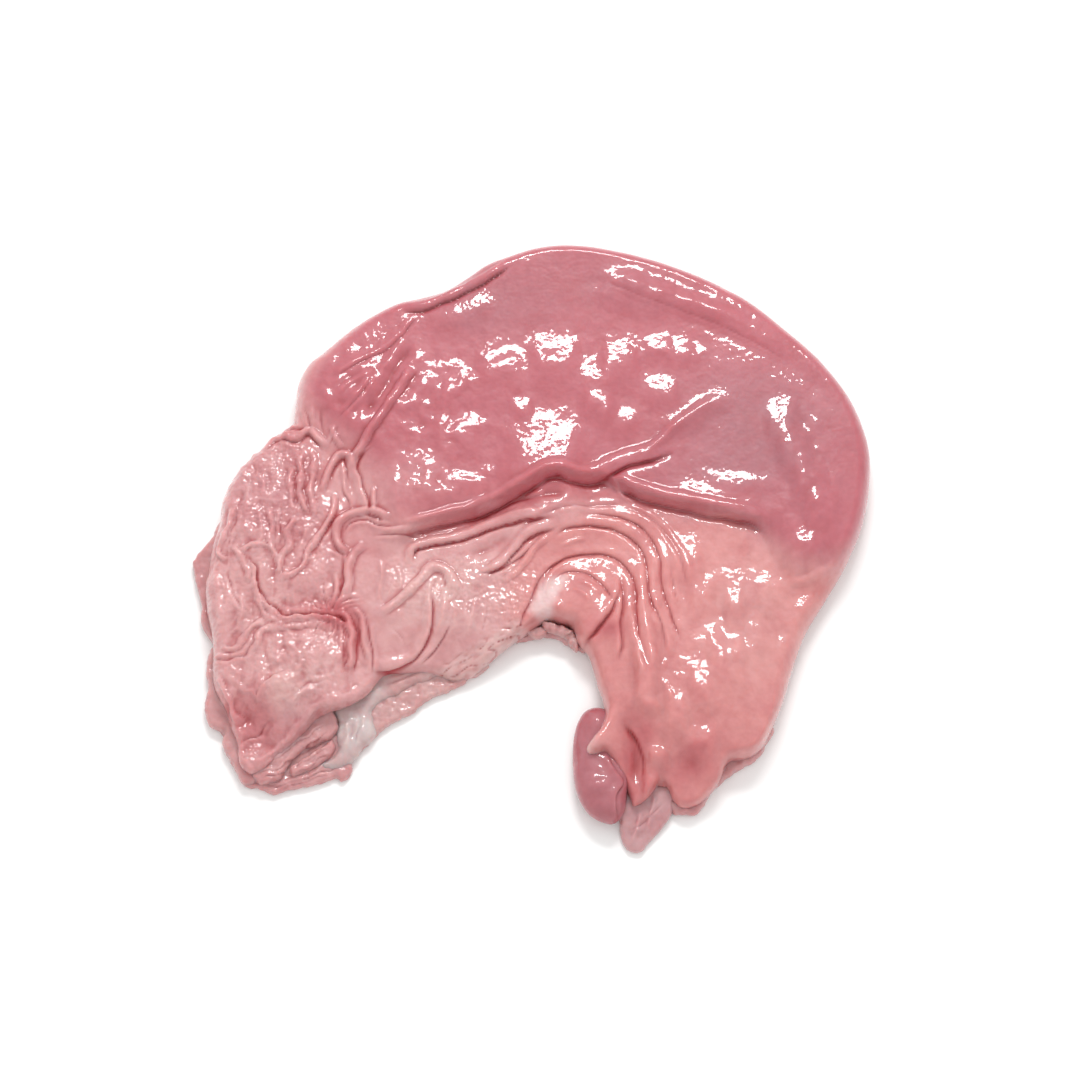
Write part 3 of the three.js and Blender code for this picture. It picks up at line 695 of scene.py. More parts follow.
LOBE_FOLDS = [
    # the pinch where the lobe meets the upper left edge
    ("furrow", 3.6, 1.8, [(-114, 50), (-110, 49), (-106.5, 49), (-102, 48.5), (-98, 50)]),
    ("tuck", 3.4, 2.0, [
        (-119, 37), (-112.5, 42.5), (-108.5, 43.5), (-103.5, 42), (-98.5, 45.5), (-95, 42), (-92, 37),
    ]),
    ("rope", 1.9, 1.1, [(-116, 44), (-108, 46.5), (-103, 45), (-99, 48.5), (-94.5, 44.5), (-90, 39)]),
    ("furrow", 3, 1.4, [(-106, 57), (-104.5, 51.5), (-103, 48)]),
    ("furrow", 3, 1.3, [(-93.5, 58), (-93, 51), (-92, 44)]),
    ("ridge", 2.2, 1.0, [(-98, 60), (-96.5, 53), (-95.5, 47)]),
    ("furrow", 3, 1.2, [(-101.5, 60), (-98.5, 52), (-98, 46)]),
    ("furrow", 2.8, 1.1, [(-90, 39), (-87.5, 44.5), (-84.5, 50)]),
    ("rope", 1.7, 1.2, [(-89, 50), (-86.5, 43.5), (-83, 38.5)]),
    # the upright fingers of its upper half
    ("rope", 1.9, 1.6, [(-103, 38.5), (-101.5, 32), (-101.5, 25), (-101.5, 20), (-100.5, 14.5), (-98, 7)]),
    ("rope", 1.6, 1.1, [(-106, 31), (-105.5, 24), (-105.5, 16), (-104, 9)]),
    ("rope", 1.9, 1.2, [(-98, 39), (-95.5, 33), (-96.5, 25), (-97, 19), (-95.5, 13), (-94, 6)]),
    ("rope", 1.8, 1.6, [(-92, 18), (-90.5, 25), (-88, 31.5), (-84.5, 36.5), (-80.5, 35.5), (-79, 29)]),
    ("tuck", 3.2, 2, [(-88.5, 20), (-88, 26), (-86, 31), (-83, 34), (-81.5, 29), (-80.5, 23)]),
    ("tuck", 3, 1.6, [(-83.5, 24), (-82.5, 18), (-80, 13), (-80, 9)]),
    ("ridge", 2, 0.9, [(-83, 32), (-82.5, 25), (-82, 17)]),
    # the wiggling ridges of its middle
    ("rope", 1.8, 1.5, [
        (-86.5, 18), (-86.5, 10), (-90, 2), (-94, -4.5), (-97.8, -11.5), (-99.5, -16), (-104, -20),
        (-110, -23),
    ]),
    ("furrow", 2.8, 1.3, [(-84.5, 10), (-87.5, 3), (-91, -3), (-95, -10)]),
    ("rope", 1.7, 1.4, [(-102, 6), (-106, 1), (-105, -6), (-108.5, -11.5), (-108.5, -18)]),
    ("rope", 1.7, 1.4, [(-115, 11), (-113, 1), (-113.5, -6), (-111, -11.5), (-109.5, -17), (-110, -22)]),
    ("rope", 1.6, 1.2, [(-127, -9.5), (-122, -6.5), (-116, -7.5), (-112, -10)]),
    ("furrow", 2.8, 1.1, [(-109, 12), (-109.5, 4), (-109, -4), (-110.5, -9)]),
    ("ridge", 1.7, 0.8, [(-119, 12), (-118.5, 4), (-118, -3)]),
    ("ridge", 1.6, 0.7, [(-98, 2), (-100, -4), (-102, -10)]),
    ("ridge", 1.6, 0.7, [(-121, 28), (-117.5, 22), (-117, 15)]),
    ("ridge", 1.7, 0.8, [(-126, 24), (-124.5, 16), (-124, 8)]),
    # its outer side
    ("rope", 2, 1.4, [(-130.5, 12), (-131.5, 5.5), (-134.2, -1), (-135.5, -9), (-132, -14)]),
    ("furrow", 2.8, 1.2, [(-128.5, 11), (-128.5, 5), (-131, -1), (-132, -8)]),
    ("rope", 1.8, 1.2, [(-130, -5), (-127.5, -10), (-124.5, -15), (-123, -21), (-126, -23)]),
    ("ridge", 2.6, 0.9, [(-138, -16), (-136, -24), (-134.5, -33), (-135, -43)]),
    ("furrow", 3, 1.1, [(-131.5, -16), (-130.5, -24), (-127, -32), (-122, -38)]),
    ("ridge", 2, 0.8, [(-126, -26), (-125, -34), (-126, -42), (-130, -48)]),
    # the long hooked crease across it, and the deep gathers where it ends
    ("tuck", (3, 4.2), 2.8, [
        (-78, -41), (-83, -39.5), (-87.5, -38), (-92.5, -37), (-99, -38), (-106.5, -38), (-111.5, -34.5),
        (-115.4, -30.5), (-118, -25), (-119.2, -17), (-123.6, -10),
    ]),
    ("dip", 6, 1.4, [(-113, -28), (-106, -33), (-98, -32.5), (-90, -31.5), (-83, -33)]),
    ("rope", 1.5, 1.0, [(-119, -30), (-116, -37), (-111.5, -40.5), (-106, -42)]),
    ("rope", 1.9, 1.0, [(-118, -52), (-116, -45.5), (-108, -43.5), (-99, -43), (-91, -42.5), (-85, -44)]),
    ("rope", 1.5, 1.4, [(-84.5, -19), (-84.5, -27.5), (-86, -35)]),
    ("furrow", 2.6, 1.3, [(-91, -28), (-89, -33), (-88, -38)]),
    ("furrow", 2.6, 1.3, [(-96.5, -31), (-95.5, -36), (-96.5, -41)]),
    ("furrow", 2.6, 1.2, [(-104, -33), (-103, -37.5), (-105, -42)]),
    ("furrow", 1.8, 1.3, [(-85, -37), (-90, -41.5), (-95, -46)]),
    ("furrow", 1.8, 1.3, [(-84.5, -38), (-86.5, -45), (-89, -51)]),
    ("furrow", 1.8, 1.2, [(-84.5, -35.5), (-79, -32.5), (-73, -31.5)]),
    ("furrow", 1.8, 1.3, [(-86, -35.5), (-89, -30), (-91, -24)]),
    ("furrow", 1.8, 1.2, [(-87, -36.5), (-93.5, -33.5), (-100, -31.5)]),
    ("furrow", 3, 1.4, [(-119, -44), (-119.5, -50), (-123.5, -56), (-133, -57.5), (-141, -57)]),
    ("rope", 1.7, 1.1, [(-135, -52.5), (-128.5, -52.5), (-124, -49), (-120, -43), (-115, -40.5)]),
    ("ridge", 2, 0.8, [(-114, -50), (-112, -57), (-106, -61)]),
    ("ridge", 1.8, 0.7, [(-109, -51), (-101, -54), (-99, -60), (-101, -66)]),
    # the two looped fingers below the gathers
    ("rope", 1.9, 2.2, [(-84, -35), (-80, -38.5), (-78.3, -44), (-78, -50.5), (-78, -57), (-79, -64)]),
    ("tuck", 2.8, 2.0, [(-77, -64), (-75.5, -57), (-75.3, -50.5), (-75.5, -44.5), (-77, -39)]),
    ("furrow", 2.6, 1.8, [(-81.5, -40), (-81.2, -47), (-81.2, -54.5), (-80.5, -61)]),
    ("rope", 1.7, 1.6, [(-77, -34), (-73.5, -38.5), (-72.7, -43.5), (-72.5, -49.5), (-70, -57)]),
    ("furrow", 2.6, 1.8, [(-71, -40), (-70.3, -46), (-69, -52), (-68.5, -58), (-69.5, -64)]),
    # the low folds near the tail
    ("tuck", 3, 1.2, [(-103, -63.5), (-111, -65.5), (-115, -68.5), (-118, -73.5), (-117, -79.8)]),
    ("ridge", 3, 1.0, [(-104, -79.8), (-99.5, -74), (-94.5, -71.5), (-86, -71)]),
    ("furrow", 3, 1.0, [(-103, -77), (-98, -70.5), (-92, -67.5), (-85, -67)]),
    ("dip", 10, 3, [(-128, -62), (-124, -78), (-117, -89.7), (-110, -94.2), (-102, -87.9), (-96, -79.8)]),
    ("furrow", 3, 1.4, [(-126, -93.3), (-121, -90.6), (-116, -88.3), (-112, -83.4)]),
    ("furrow", 2.6, 1.0, [(-125, -97.8), (-121, -99.6), (-117, -101.4)]),
    ("rope", 2, 1.0, [(-136, -64), (-131.5, -72), (-127.5, -79.8), (-124, -87)]),
    ("ridge", 2.2, 0.8, [(-131, -62), (-127, -68), (-121, -72), (-116, -76)]),
    ("ridge", 3.4, 1.0, [
        (-120, -102.3), (-113, -98.7), (-106, -92.8), (-100, -87.5), (-94, -80.2), (-88, -76.5), (-78, -73),
        (-71, -67), (-68, -62),
    ]),
]

MIDDLE_FOLDS = [
    # the slanting fold at the body's left end, and the wall that hangs from it
    ("rope", (2.2, 2.8), 1.9, [
        (-80, 33), (-76, 38), (-71, 46.5), (-66, 54.5), (-61, 63), (-56.5, 71), (-53, 77),
    ]),
    ("furrow", 3, 1.2, [(-86, 52), (-80, 58), (-74, 66), (-70, 73)]),
    ("tuck", 3.6, 2.2, [(-71.5, 5), (-71.5, 13), (-73.8, 20), (-75, 25), (-77, 30), (-75.5, 34), (-70, 39)]),
    ("rope", 1.5, 1.4, [(-69.3, 21), (-69.3, 14), (-69, 6)]),
    ("furrow", 2.6, 1.0, [(-66.5, 9), (-66.5, 2)]),
    # the curled fold
    ("rope", 2.3, 2.3, [
        (-62, 5), (-67.6, 8.8), (-75, 9.5), (-80.2, 7.7), (-84.6, 3), (-85.2, -2.4), (-82.7, -7.8),
        (-79, -9.5),
    ]),
    ("furrow", 2.8, 1.9, [(-82.5, -1), (-79, 4), (-72.6, 5.6), (-67.6, 3), (-60, 2)]),
    ("rope", (2.5, 2), 1.7, [(-72.5, -5), (-77.5, -10), (-79.3, -15), (-79.3, -22), (-80.5, -29)]),
    ("tuck", 3, 1.8, [(-82.3, -9), (-82, -16), (-81.8, -22), (-83, -28), (-85, -33), (-87.5, -38)]),
    ("furrow", 2.8, 1.3, [(-85, -36), (-82, -32.5), (-78, -30), (-73, -31)]),
    ("ridge", 1.8, 0.7, [(-90, -9), (-85, -10.5), (-82, -13)]),
    ("ridge", 1.8, 0.7, [(-89, -13), (-85.5, -14.5)]),
    # the long fold across the middle
    ("lip", (4.6, 7.4), (1.2, 1.9), [
        (-60, 1), (-48, 4.5), (-36, 8), (-27, 10.5), (-17.5, 14.5), (-10.5, 18.5), (-4, 22.5), (1.5, 26),
        (7, 29), (12, 29.4), (17.5, 27.5), (23, 27), (28.5, 28.5), (34, 31.5), (40, 34.2), (47, 36.2),
        (54, 38.5), (62, 42.5),
    ]),
    ("furrow", 2.8, 1.2, [(-70, -1), (-62, -1.5), (-55.5, -1), (-47, -2.5)]),
    ("rope", 1.7, 0.9, [(-66, 0.8), (-57, 0.5), (-49, 1.5), (-40, 4.5)]),
    # the pocket below it, with its own two folds
    ("lip", (3, 5), 1.9, [
        (-54, -14), (-53, -7), (-46, -3.5), (-36, -1.5), (-27, 1.5), (-20, 4.5), (-9, 7.8), (1, 9.5),
        (10, 10.5),
    ]),
    ("dip", 4.6, 1.8, [(-34, 5), (-20, 10.5), (-8, 15), (6, 18), (18, 18.5)]),
    ("rope", 1.6, 0.9, [(-26, 9), (-14, 13.5), (-4, 17), (6, 19)]),
    ("lip", (3, 4.6), 1.6, [
        (-22, -18), (-17, -14.5), (-12, -10), (-7.6, -4.6), (-2.6, 0.5), (5, 4), (11, 6),
    ]),
    ("dip", 4.6, 1.8, [(-30, -10), (-20, -7), (-14, -3.5), (-8, 1)]),
    ("tuck", 3.4, 1.7, [(-25, -18.5), (-17, -17), (-9, -13), (-3, -8.5), (1.5, -3)]),
    ("rope", 1.9, 1.0, [(-14, -22), (-8, -18), (-3, -12), (1, -6), (7, -1)]),
    # the puffed wall below them, and the lip that it pushes out
    ("rope", (2.4, 3.4), 1.7, [
        (-66, -37), (-57.5, -30.5), (-49, -21.5), (-43, -15), (-38, -16.5), (-34.5, -22.5), (-33, -30),
    ]),
    ("furrow", 3, 1.4, [(-41, -19), (-43.7, -27), (-43.5, -35)]),
    ("tuck", (5, 3), 2.8, [
        (-71, -62.5), (-65, -61.5), (-56.3, -59.1), (-49.7, -54.9), (-44.9, -47.4), (-43.1, -36.7),
        (-43.6, -26.4),
    ]),
    ("tuck", 3, 1.7, [(-49.5, -59), (-44, -54), (-40, -49), (-37, -44), (-34.5, -40)]),
    ("ridge", 3, 0.9, [(-36, -22), (-38, -31), (-39, -39), (-43, -48)]),
    ("ridge", 2, 0.8, [(-60, -14), (-57, -20), (-58, -27)]),
    ("ridge", 2, 0.8, [(-66, -12), (-65, -19), (-66.5, -27), (-65, -33)]),
    ("furrow", 2.8, 0.9, [(-62, -42), (-57, -46), (-54, -51)]),
    ("ridge", 2.2, 0.8, [(-25, -28), (-26, -37), (-29, -46)]),
    ("furrow", 2.6, 0.8, [(-20, -30), (-20.5, -39), (-23, -47)]),
]

BODY_FOLDS = [
    # the lower lip of the body, over the pyloric part
    ("lip", (5.5, 6.4), 1.3, [
        (34, 26), (41, 23), (47, 20.5), (52.5, 18.5), (60, 16.5), (67.5, 14.5), (74.5, 12.5), (85, 10.5),
        (94, 9), (101, 5), (105, 0),
    ]),
    ("dip", 6, 0.5, [(60, 27), (72, 22), (84, 18.5), (98, 16.5), (110, 19)]),
    ("ridge", 1.8, 1.2, [(32.5, 26.5), (35, 24.5), (37.5, 20.5), (40.5, 17), (45, 15.5)]),
    ("ridge", (4, 6), (1.5, 0.4), [(50, 37), (55, 41.5), (60.5, 47), (67, 52.5), (76, 59), (85, 65)]),
    # the rolled rim along the greater curvature
    ("dip", (5, 7), 0.4, [
        (22, 121), (33, 117), (46.6, 111.5), (58, 107), (70, 102.3), (81, 98), (91.5, 92.8), (103, 86.5),
        (113, 79), (120, 72.5), (126, 65), (131, 55),
    ]),
    ("furrow", 3, 0.45, [
        (30, 119.5), (46, 112), (58, 107.5), (70, 103), (81, 98.5), (92, 93), (103, 86.5), (112, 80),
    ]),
    ("swell", (8, 9), 1.0, [
        (30, 124), (44, 118.5), (56, 114), (68, 109), (80, 104), (92, 98), (104, 90), (116, 80),
    ]),
    # the tube that the upper left edge is rolled into
    ("lip", (4.6, 3.4), 1.7, [
        (-59, 108), (-51.5, 107), (-42.5, 110), (-33, 114.5), (-24.5, 119), (-18, 123), (-11, 128),
    ]),
    ("tuck", 3.6, 1.3, [(-88, 71), (-80, 77), (-72, 81.5), (-66, 84.5), (-61, 89), (-55, 96.5), (-51, 103)]),
    ("swell", 5, 1.2, [(-72, 76), (-64, 79), (-58, 85)]),
    ("dip", 4, 1.4, [(-52, 89), (-57.5, 81.5), (-61.5, 75.5), (-65, 68), (-69, 61), (-76, 52)]),
    ("ridge", 3, 0.8, [(-88, 62), (-82, 68), (-76, 72), (-69, 76)]),
]

ARC_FOLDS = [
    # arcs round the lesser curvature, which turn down into the pyloric part
    ("crease", 5.2, 3.0, [
        (-8, -47), (-4, -37), (0, -27.5), (3.7, -19.5), (8.8, -14), (17.6, -9.5), (25, -8.6), (32.6, -9),
        (38.9, -13), (42.7, -19), (44.6, -26), (44.5, -34), (45.2, -44), (46.5, -54),
    ]),
    ("crease", 5, 3.0, [
        (8, -2), (12, 1), (17.6, 3.4), (27.6, 4.1), (37.7, 1.4), (45.2, -4.2), (48.8, -11.3), (49.7, -19.2),
        (50.6, -30), (55, -40.8), (57.2, -54.8),
    ]),
    ("crease", 5, 2.8, [
        (22, 9.6), (30, 9.4), (38.5, 8), (47, 3.6), (52.4, -3.6), (55, -11.3), (55.7, -23.9), (58.5, -34.7),
        (62, -45.4), (64.2, -51.5),
    ]),
    ("furrow", (3, 5), 1.1, [(40, 13), (50, 8.5), (57.5, 1), (62.5, -8), (65.5, -18), (67, -28)]),
    ("furrow", 3.4, 0.9, [(-6, 2), (4, 8), (16, 12.6), (28, 13.4), (40, 14.4)]),
    ("crease", 4, 2.2, [(8, -21), (13, -17.6), (19, -16.9), (25, -19), (30, -24), (34, -30), (36, -36)]),
    ("furrow", 3.2, 1.1, [(2.5, -28), (5.5, -20.3), (10.5, -13.6), (16.5, -11)]),
    ("ridge", 2, 0.8, [(19, -21), (25.5, -24.5), (29, -29)]),
    ("ridge", 1.6, 0.7, [(16, -25), (22, -28), (25, -33)]),
    ("ridge", 1.8, 0.9, [(12, -6), (18, -2.6), (24, -1.6)]),
    # where they run down
    ("swell", 3.2, 1.2, [(46.8, -13), (47.2, -23.3), (47.6, -34), (49.2, -44.7), (50.5, -54), (54, -64)]),
    ("swell", 3, 1.0, [(41.5, -28), (42, -38), (43.5, -50), (45, -60), (47, -68)]),
    ("swell", 3, 0.9, [(53, -26), (54, -38), (57, -48), (60, -58)]),
    ("tuck", 4.4, 2.4, [(36.5, -60), (38.3, -49), (37.4, -41), (38.7, -33.3), (38.7, -24.4), (37, -17)]),
    ("tuck", (6, 4.6), (4.2, 2.2), [
        (19, -52.5), (23.5, -48.5), (28.2, -43.4), (33.4, -36.4), (37, -28), (38, -20),
    ]),
    ("furrow", 3, 1.0, [(60, -14), (60.5, -24), (63, -34)]),
]

PYLORIC_FOLDS = [
    ("dip", 9, 0.9, [(70, -18), (78, -30), (84, -44), (88, -58)]),
    ("ridge", 4, 1.0, [(108, -23), (117, -22), (127, -17), (134, -12)]),
    ("dip", 5, 0.9, [(106, -28), (118, -28), (128, -24)]),
    ("swell", 7, 1.1, [(94, -40), (99.5, -52), (106, -62)]),
    ("dip", 5, 0.8, [(97, -32), (102.5, -41), (109, -52)]),
    ("swell", 8, 1.2, [(70, -66), (76, -76), (80, -87)]),
    ("ridge", 2, 1.0, [(44, -54), (46, -60), (47.5, -66)]),
    ("ridge", 2, 0.9, [(57, -57), (55, -64)]),
    ("ridge", 2, 0.8, [(54, -66), (58, -73), (60, -78.9)]),
    ("dip", 6, 3.4, [(36, -79.8), (39, -85.2), (42, -90.6), (44, -97.8), (43.5, -106.8), (43, -114.9)]),
    ("tuck", 3.4, 1.8, [(38, -85.2), (43, -91), (46, -96.9), (47, -103.2), (46, -110.4)]),
    ("swell", 5, 1.6, [(50, -92.4), (52, -101.4), (50, -111.3)]),
    ("dip", 7, 2.2, [(72, -93.3), (70, -98.7), (66, -105), (62, -112.2)]),
    ("swell", 5, 1.4, [(76, -101.4), (73, -108.6), (68, -114.9)]),
]


# The other pieces' forms: outline, edge's reach, height, and folds

LEFT_FLAP = [
    (-135, 13), (-138.5, 9), (-141.5, 1.5), (-145.5, -3.5), (-149, -9), (-148.5, -14), (-146, -22),
    (-144.5, -28), (-144.2, -36), (-142, -41), (-137, -47), (-132, -42), (-131, -20), (-130, 0),
]
LOWER_LEFT_FLAP = [
    (-136, -46), (-140.5, -52), (-141, -60), (-140, -67), (-141.5, -73), (-140.5, -79.8), (-138, -83.8),
    (-134.5, -85.7), (-132, -86.1), (-133, -88.8), (-131, -96.5), (-127.5, -102.3), (-123.5, -109),
    (-115, -107.7), (-112, -93.3), (-120, -75), (-127, -55),
]
TAIL_FRINGE = [
    (-125, -105), (-122.5, -109.5), (-116, -110.8), (-111.5, -113.1), (-105, -111.8), (-98, -110.4),
    (-89.5, -107.7), (-84, -106.3), (-81.5, -108.2), (-78, -105), (-77.5, -101), (-78, -94.2),
    (-80, -85.2), (-94, -81.6), (-108, -87), (-121, -96),
]
TAIL_LAYER = [
    (-121, -101.4), (-119, -108.2), (-113, -109.5), (-107, -107.2), (-105.5, -102.8), (-102, -98.2),
    (-96.5, -93.8), (-90.5, -91), (-86, -89.2), (-83.5, -86.1), (-84, -79.8), (-90, -74), (-105, -79.8),
    (-118, -90.6),
]
CURLED_LAYER = [
    (-104, -103.2), (-98, -98.7), (-91, -94.2), (-85.5, -89.7), (-84, -92.8), (-86, -97.3), (-91.5, -101),
    (-98, -104.5), (-102.5, -106.3),
]
WHITE_TISSUE = [
    (-86, -76), (-84, -83.4), (-84, -89.7), (-83, -94.2), (-87, -98.2), (-90.5, -100.5), (-89.5, -102.3),
    (-84, -102.6), (-78.5, -100.5), (-72.5, -93.8), (-67.5, -87.5), (-67.5, -81.6), (-69, -77.5),
    (-65.5, -73.5), (-57, -69), (-51, -65.5), (-44, -62.5), (-37, -60), (-38, -53), (-48, -50),
    (-58, -53), (-68, -58), (-77, -66),
]
STRIP_LAYER = [
    (-76, -96.9), (-72, -93.8), (-67, -87), (-62.5, -83.4), (-55.5, -78.9), (-49.5, -75), (-45, -71.5),
    (-40.5, -69.3), (-33, -66), (-26, -61.5), (-19, -56), (-22, -50), (-40, -52), (-55, -59),
    (-68, -70), (-78, -84.3),
]
NOTCH_LAYER = [
    (-8, -45.5), (-1, -43.8), (6, -43), (12, -45), (18, -48.3), (22, -50), (24, -44), (18, -36),
    (6, -31), (-5, -37),
]
HEM_LAYER = [
    (57, -117.6), (60, -121.7), (64, -122.5), (69, -122.4), (72.5, -119), (75.5, -114), (79, -110),
    (85.5, -104.5), (90, -101.4), (95.5, -98.7), (99.8, -92), (103.5, -84.3), (95, -79.8), (80, -88.8),
    (66, -100.5), (57, -108.6),
]
GUT_TONGUE = [
    (34.5, -115.8), (34, -119.4), (35.5, -123), (37, -125.7), (37, -130.2), (39, -136.1), (42.5, -138.8),
    (46, -138.3), (50, -133.3), (54.5, -128.8), (58, -123.5), (60.5, -117.6), (60, -108.6), (48, -101.4),
    (38, -105),
]
TORUS = [
    (31, -76.5), (25.5, -76), (22, -78), (19.3, -82.5), (17.6, -88.8), (17, -96.5), (17.3, -105.9),
    (18.3, -112.7), (20.8, -119), (24.5, -123.9), (29, -126.6), (34, -127.5), (38, -123.9), (40, -115.8),
    (40.5, -102.3), (38, -88.8), (35, -79.8),
]


# Materials


def linear(hex_colour):
    """A colour written as an sRGB hex value, as the linear colour that shaders take."""
    levels = [int(hex_colour[i : i + 2], 16) / 255 for i in (1, 3, 5)]
    return [c / 12.92 if c <= 0.04045 else ((c + 0.055) / 1.055) ** 2.4 for c in levels] + [1]


def add_node(tree, kind, settings=(), values=(), links=()):
    """Adds a node; links come from other nodes' sockets to its own, by name or number."""
    node = tree.nodes.new(kind)
    for key, value in dict(settings).items():
        setattr(node, key, value)
    for key, value in dict(values).items():
        node.inputs[key].default_value = value
    for key, socket in dict(links).items():
        tree.links.new(socket, node.inputs[key])
    return node


# Where the skin's colour changes: a share kept on the mesh, and the colour it brings
LINING_TINTS = [
    ("body", "#b25e68"),
    ("pyloric", "#c98280"),
    # partly the lining's own mauve tone, partly a painted sheen that greys it
    ("dusky_sheen", "#9c636c"),
    # partly redder flesh, partly painted shade in hollows, creases and under folds
    ("blush_and_shade", "#b4545a"),
    ("pale", "#cfaaa6"),
    ("white", "#e0c4c2"),
]
BLOTCH = 14.0  # width of the blotches that blood gives the lining
VEIN = 3.4  # width of the finer mottling
GASTRIC_AREA = 1.7  # the lining's small fields, parted by a network of grooves
PUCKER = 4.2  # the soft unevenness between those fields and the folds
BLOOD_START, BLOOD_FULL, BLOOD_MOST = 0.4, 0.72, 0.34  # where in the noise a blotch starts, and its share
MOTTLING = 0.22  # how much the finer mottling shows
HOLLOW_TINT = "#d8505e"  # blood shows through in the hollows, and less light reaches them
CREST_SHEEN_TINT = "#5a4644"  # stretched skin is paler along the crests, and a painted sheen lightens them too
ORANGE_PEEL = 10 / 9  # width of the waves in the board's lacquer
ORANGE_PEEL_DEPTH = 0.03


def raw_flesh(name, base, tints, wetness, puckering, pits, blood="#a84a52"):
    """Raw flesh: light sinks in and spreads, blood mottles it, and a film of water covers it.

    Puckering and pits are the depths in millimetres of its soft unevenness and of its small
    fields; they break up the film's mirror into sparkles.
    """
    material = bpy.data.materials.new(name)
    material.use_nodes = True
    tree = material.node_tree
    shader = tree.nodes["Principled BSDF"]
    place = add_node(tree, "ShaderNodeTexCoord").outputs["Object"]

    blotches = add_node(
        tree, "ShaderNodeTexNoise", {}, {"Scale": 1000 / BLOTCH, "Detail": 3.0, "Distortion": 0.6},
        {"Vector": place},
    )
    spread = add_node(
        tree, "ShaderNodeMapRange", {},
        {"From Min": BLOOD_START, "From Max": BLOOD_FULL, "To Max": BLOOD_MOST},
        {"Value": blotches.outputs["Fac"]},
    )
    colour = None
    for share, tint in tints:
        mask = add_node(tree, "ShaderNodeAttribute", {"attribute_name": share}).outputs["Fac"]
        mixed = add_node(
            tree, "ShaderNodeMix", {"data_type": "RGBA"}, {6: linear(base), 7: linear(tint)}, {0: mask}
        )
        if colour:
            tree.links.new(colour, mixed.inputs[6])
        colour = mixed.outputs[2]
    mottled = add_node(
        tree, "ShaderNodeMix", {"data_type": "RGBA"}, {6: linear(base), 7: linear(blood)},
        {0: spread.outputs["Result"]},
    )
    if colour:
        tree.links.new(colour, mottled.inputs[6])
    veins = add_node(
        tree, "ShaderNodeTexNoise", {}, {"Scale": 1000 / VEIN, "Detail": 2.0}, {"Vector": place}
    )
    grained = add_node(
        tree, "ShaderNodeMix", {"data_type": "RGBA", "blend_type": "SOFT_LIGHT"}, {0: MOTTLING},
        {6: mottled.outputs[2], 7: veins.outputs["Fac"]},
    )
    hollow = add_node(tree, "ShaderNodeAttribute", {"attribute_name": "hollow"}).outputs["Fac"]
    shaded = add_node(
        tree, "ShaderNodeMix", {"data_type": "RGBA", "blend_type": "MULTIPLY"}, {7: linear(HOLLOW_TINT)},
        {0: hollow, 6: grained.outputs[2]},
    )
    crest = add_node(tree, "ShaderNodeAttribute", {"attribute_name": "crest"}).outputs["Fac"]
    paled = add_node(
        tree, "ShaderNodeMix", {"data_type": "RGBA", "blend_type": "SCREEN"}, {7: linear(CREST_SHEEN_TINT)},
        {0: crest, 6: shaded.outputs[2]},
    )
    tree.links.new(paled.outputs[2], shader.inputs["Base Color"])

    puckers = add_node(
        tree, "ShaderNodeTexNoise", {}, {"Scale": 1000 / PUCKER, "Detail": 1.0}, {"Vector": place}
    )
    rolling = add_node(
        tree, "ShaderNodeBump", {}, {"Distance": puckering * MM}, {"Height": puckers.outputs["Fac"]}
    )
    rough = add_node(tree, "ShaderNodeAttribute", {"attribute_name": "rough"}).outputs["Fac"]
    network = add_node(
        tree, "ShaderNodeTexNoise", {}, {"Scale": 1000 / GASTRIC_AREA, "Detail": 0.0}, {"Vector": place}
    )
    pitted = add_node(
        tree, "ShaderNodeBump", {}, {"Distance": pits * MM},
        {"Height": network.outputs["Fac"], "Normal": rolling.outputs["Normal"], "Strength": rough},
    )
    tree.links.new(pitted.outputs["Normal"], shader.inputs["Normal"])
    tree.links.new(pitted.outputs["Normal"], shader.inputs["Coat Normal"])
    shader.inputs["Roughness"].default_value = 0.42
    shader.inputs["IOR"].default_value = 1.38
    shader.inputs["Coat Weight"].default_value = wetness
    shader.inputs["Coat Roughness"].default_value = 0.04
    shader.inputs["Coat IOR"].default_value = 1.42
    shader.inputs["Subsurface Weight"].default_value = 0.6
    shader.inputs["Subsurface Radius"].default_value = (1.0, 0.36, 0.26)
    shader.inputs["Subsurface Scale"].default_value = 0.004
    return material


def matt_board():
    """A white lacquered board: matt, and bright under the studio's light."""
    material = bpy.data.materials.new("matt_board")
    material.use_nodes = True
    tree = material.node_tree
    shader = tree.nodes["Principled BSDF"]
    place = add_node(tree, "ShaderNodeTexCoord").outputs["Object"]
    orange_peel = add_node(
        tree, "ShaderNodeTexNoise", {}, {"Scale": 1000 / ORANGE_PEEL, "Detail": 2.0}, {"Vector": place}
    )
    bump = add_node(
        tree, "ShaderNodeBump", {}, {"Distance": ORANGE_PEEL_DEPTH * MM},
        {"Height": orange_peel.outputs["Fac"]},
    )
    tree.links.new(bump.outputs["Normal"], shader.inputs["Normal"])
    shader.inputs["Base Color"].default_value = linear("#f4f4f3")
    shader.inputs["Roughness"].default_value = 0.7
    return material


# Pieces


# Where the lining is the body's darker red
BODY_REGION = [
    (-60, 118), (-88, 86), (-98, 66), (-88, 50), (-76, 36), (-68, 20), (-56, 8), (-38, 3), (-18, 8), (-4, 11),
    (8, 15), (25, 19), (40, 17), (52, 13.5), (66, 10), (82, 6.5), (94.5, 3), (102, -5), (113, -14),
    (127, -14), (141, -8), (160, 0), (165, 50), (145, 95), (100, 130), (30, 155), (-30, 145),
]
# Where it is the pyloric part's salmon
PYLORIC_REGION = [
    (-14, -30), (-6, -10), (6, 2), (24, 9), (44, 12), (66, 8), (94, 1), (102, -8), (113, -17), (128, -18),
    (150, -14), (120, -79.8), (95, -101.4), (80, -133.8), (30, -133.8), (22, -97.8), (20, -60), (0, -50),
]
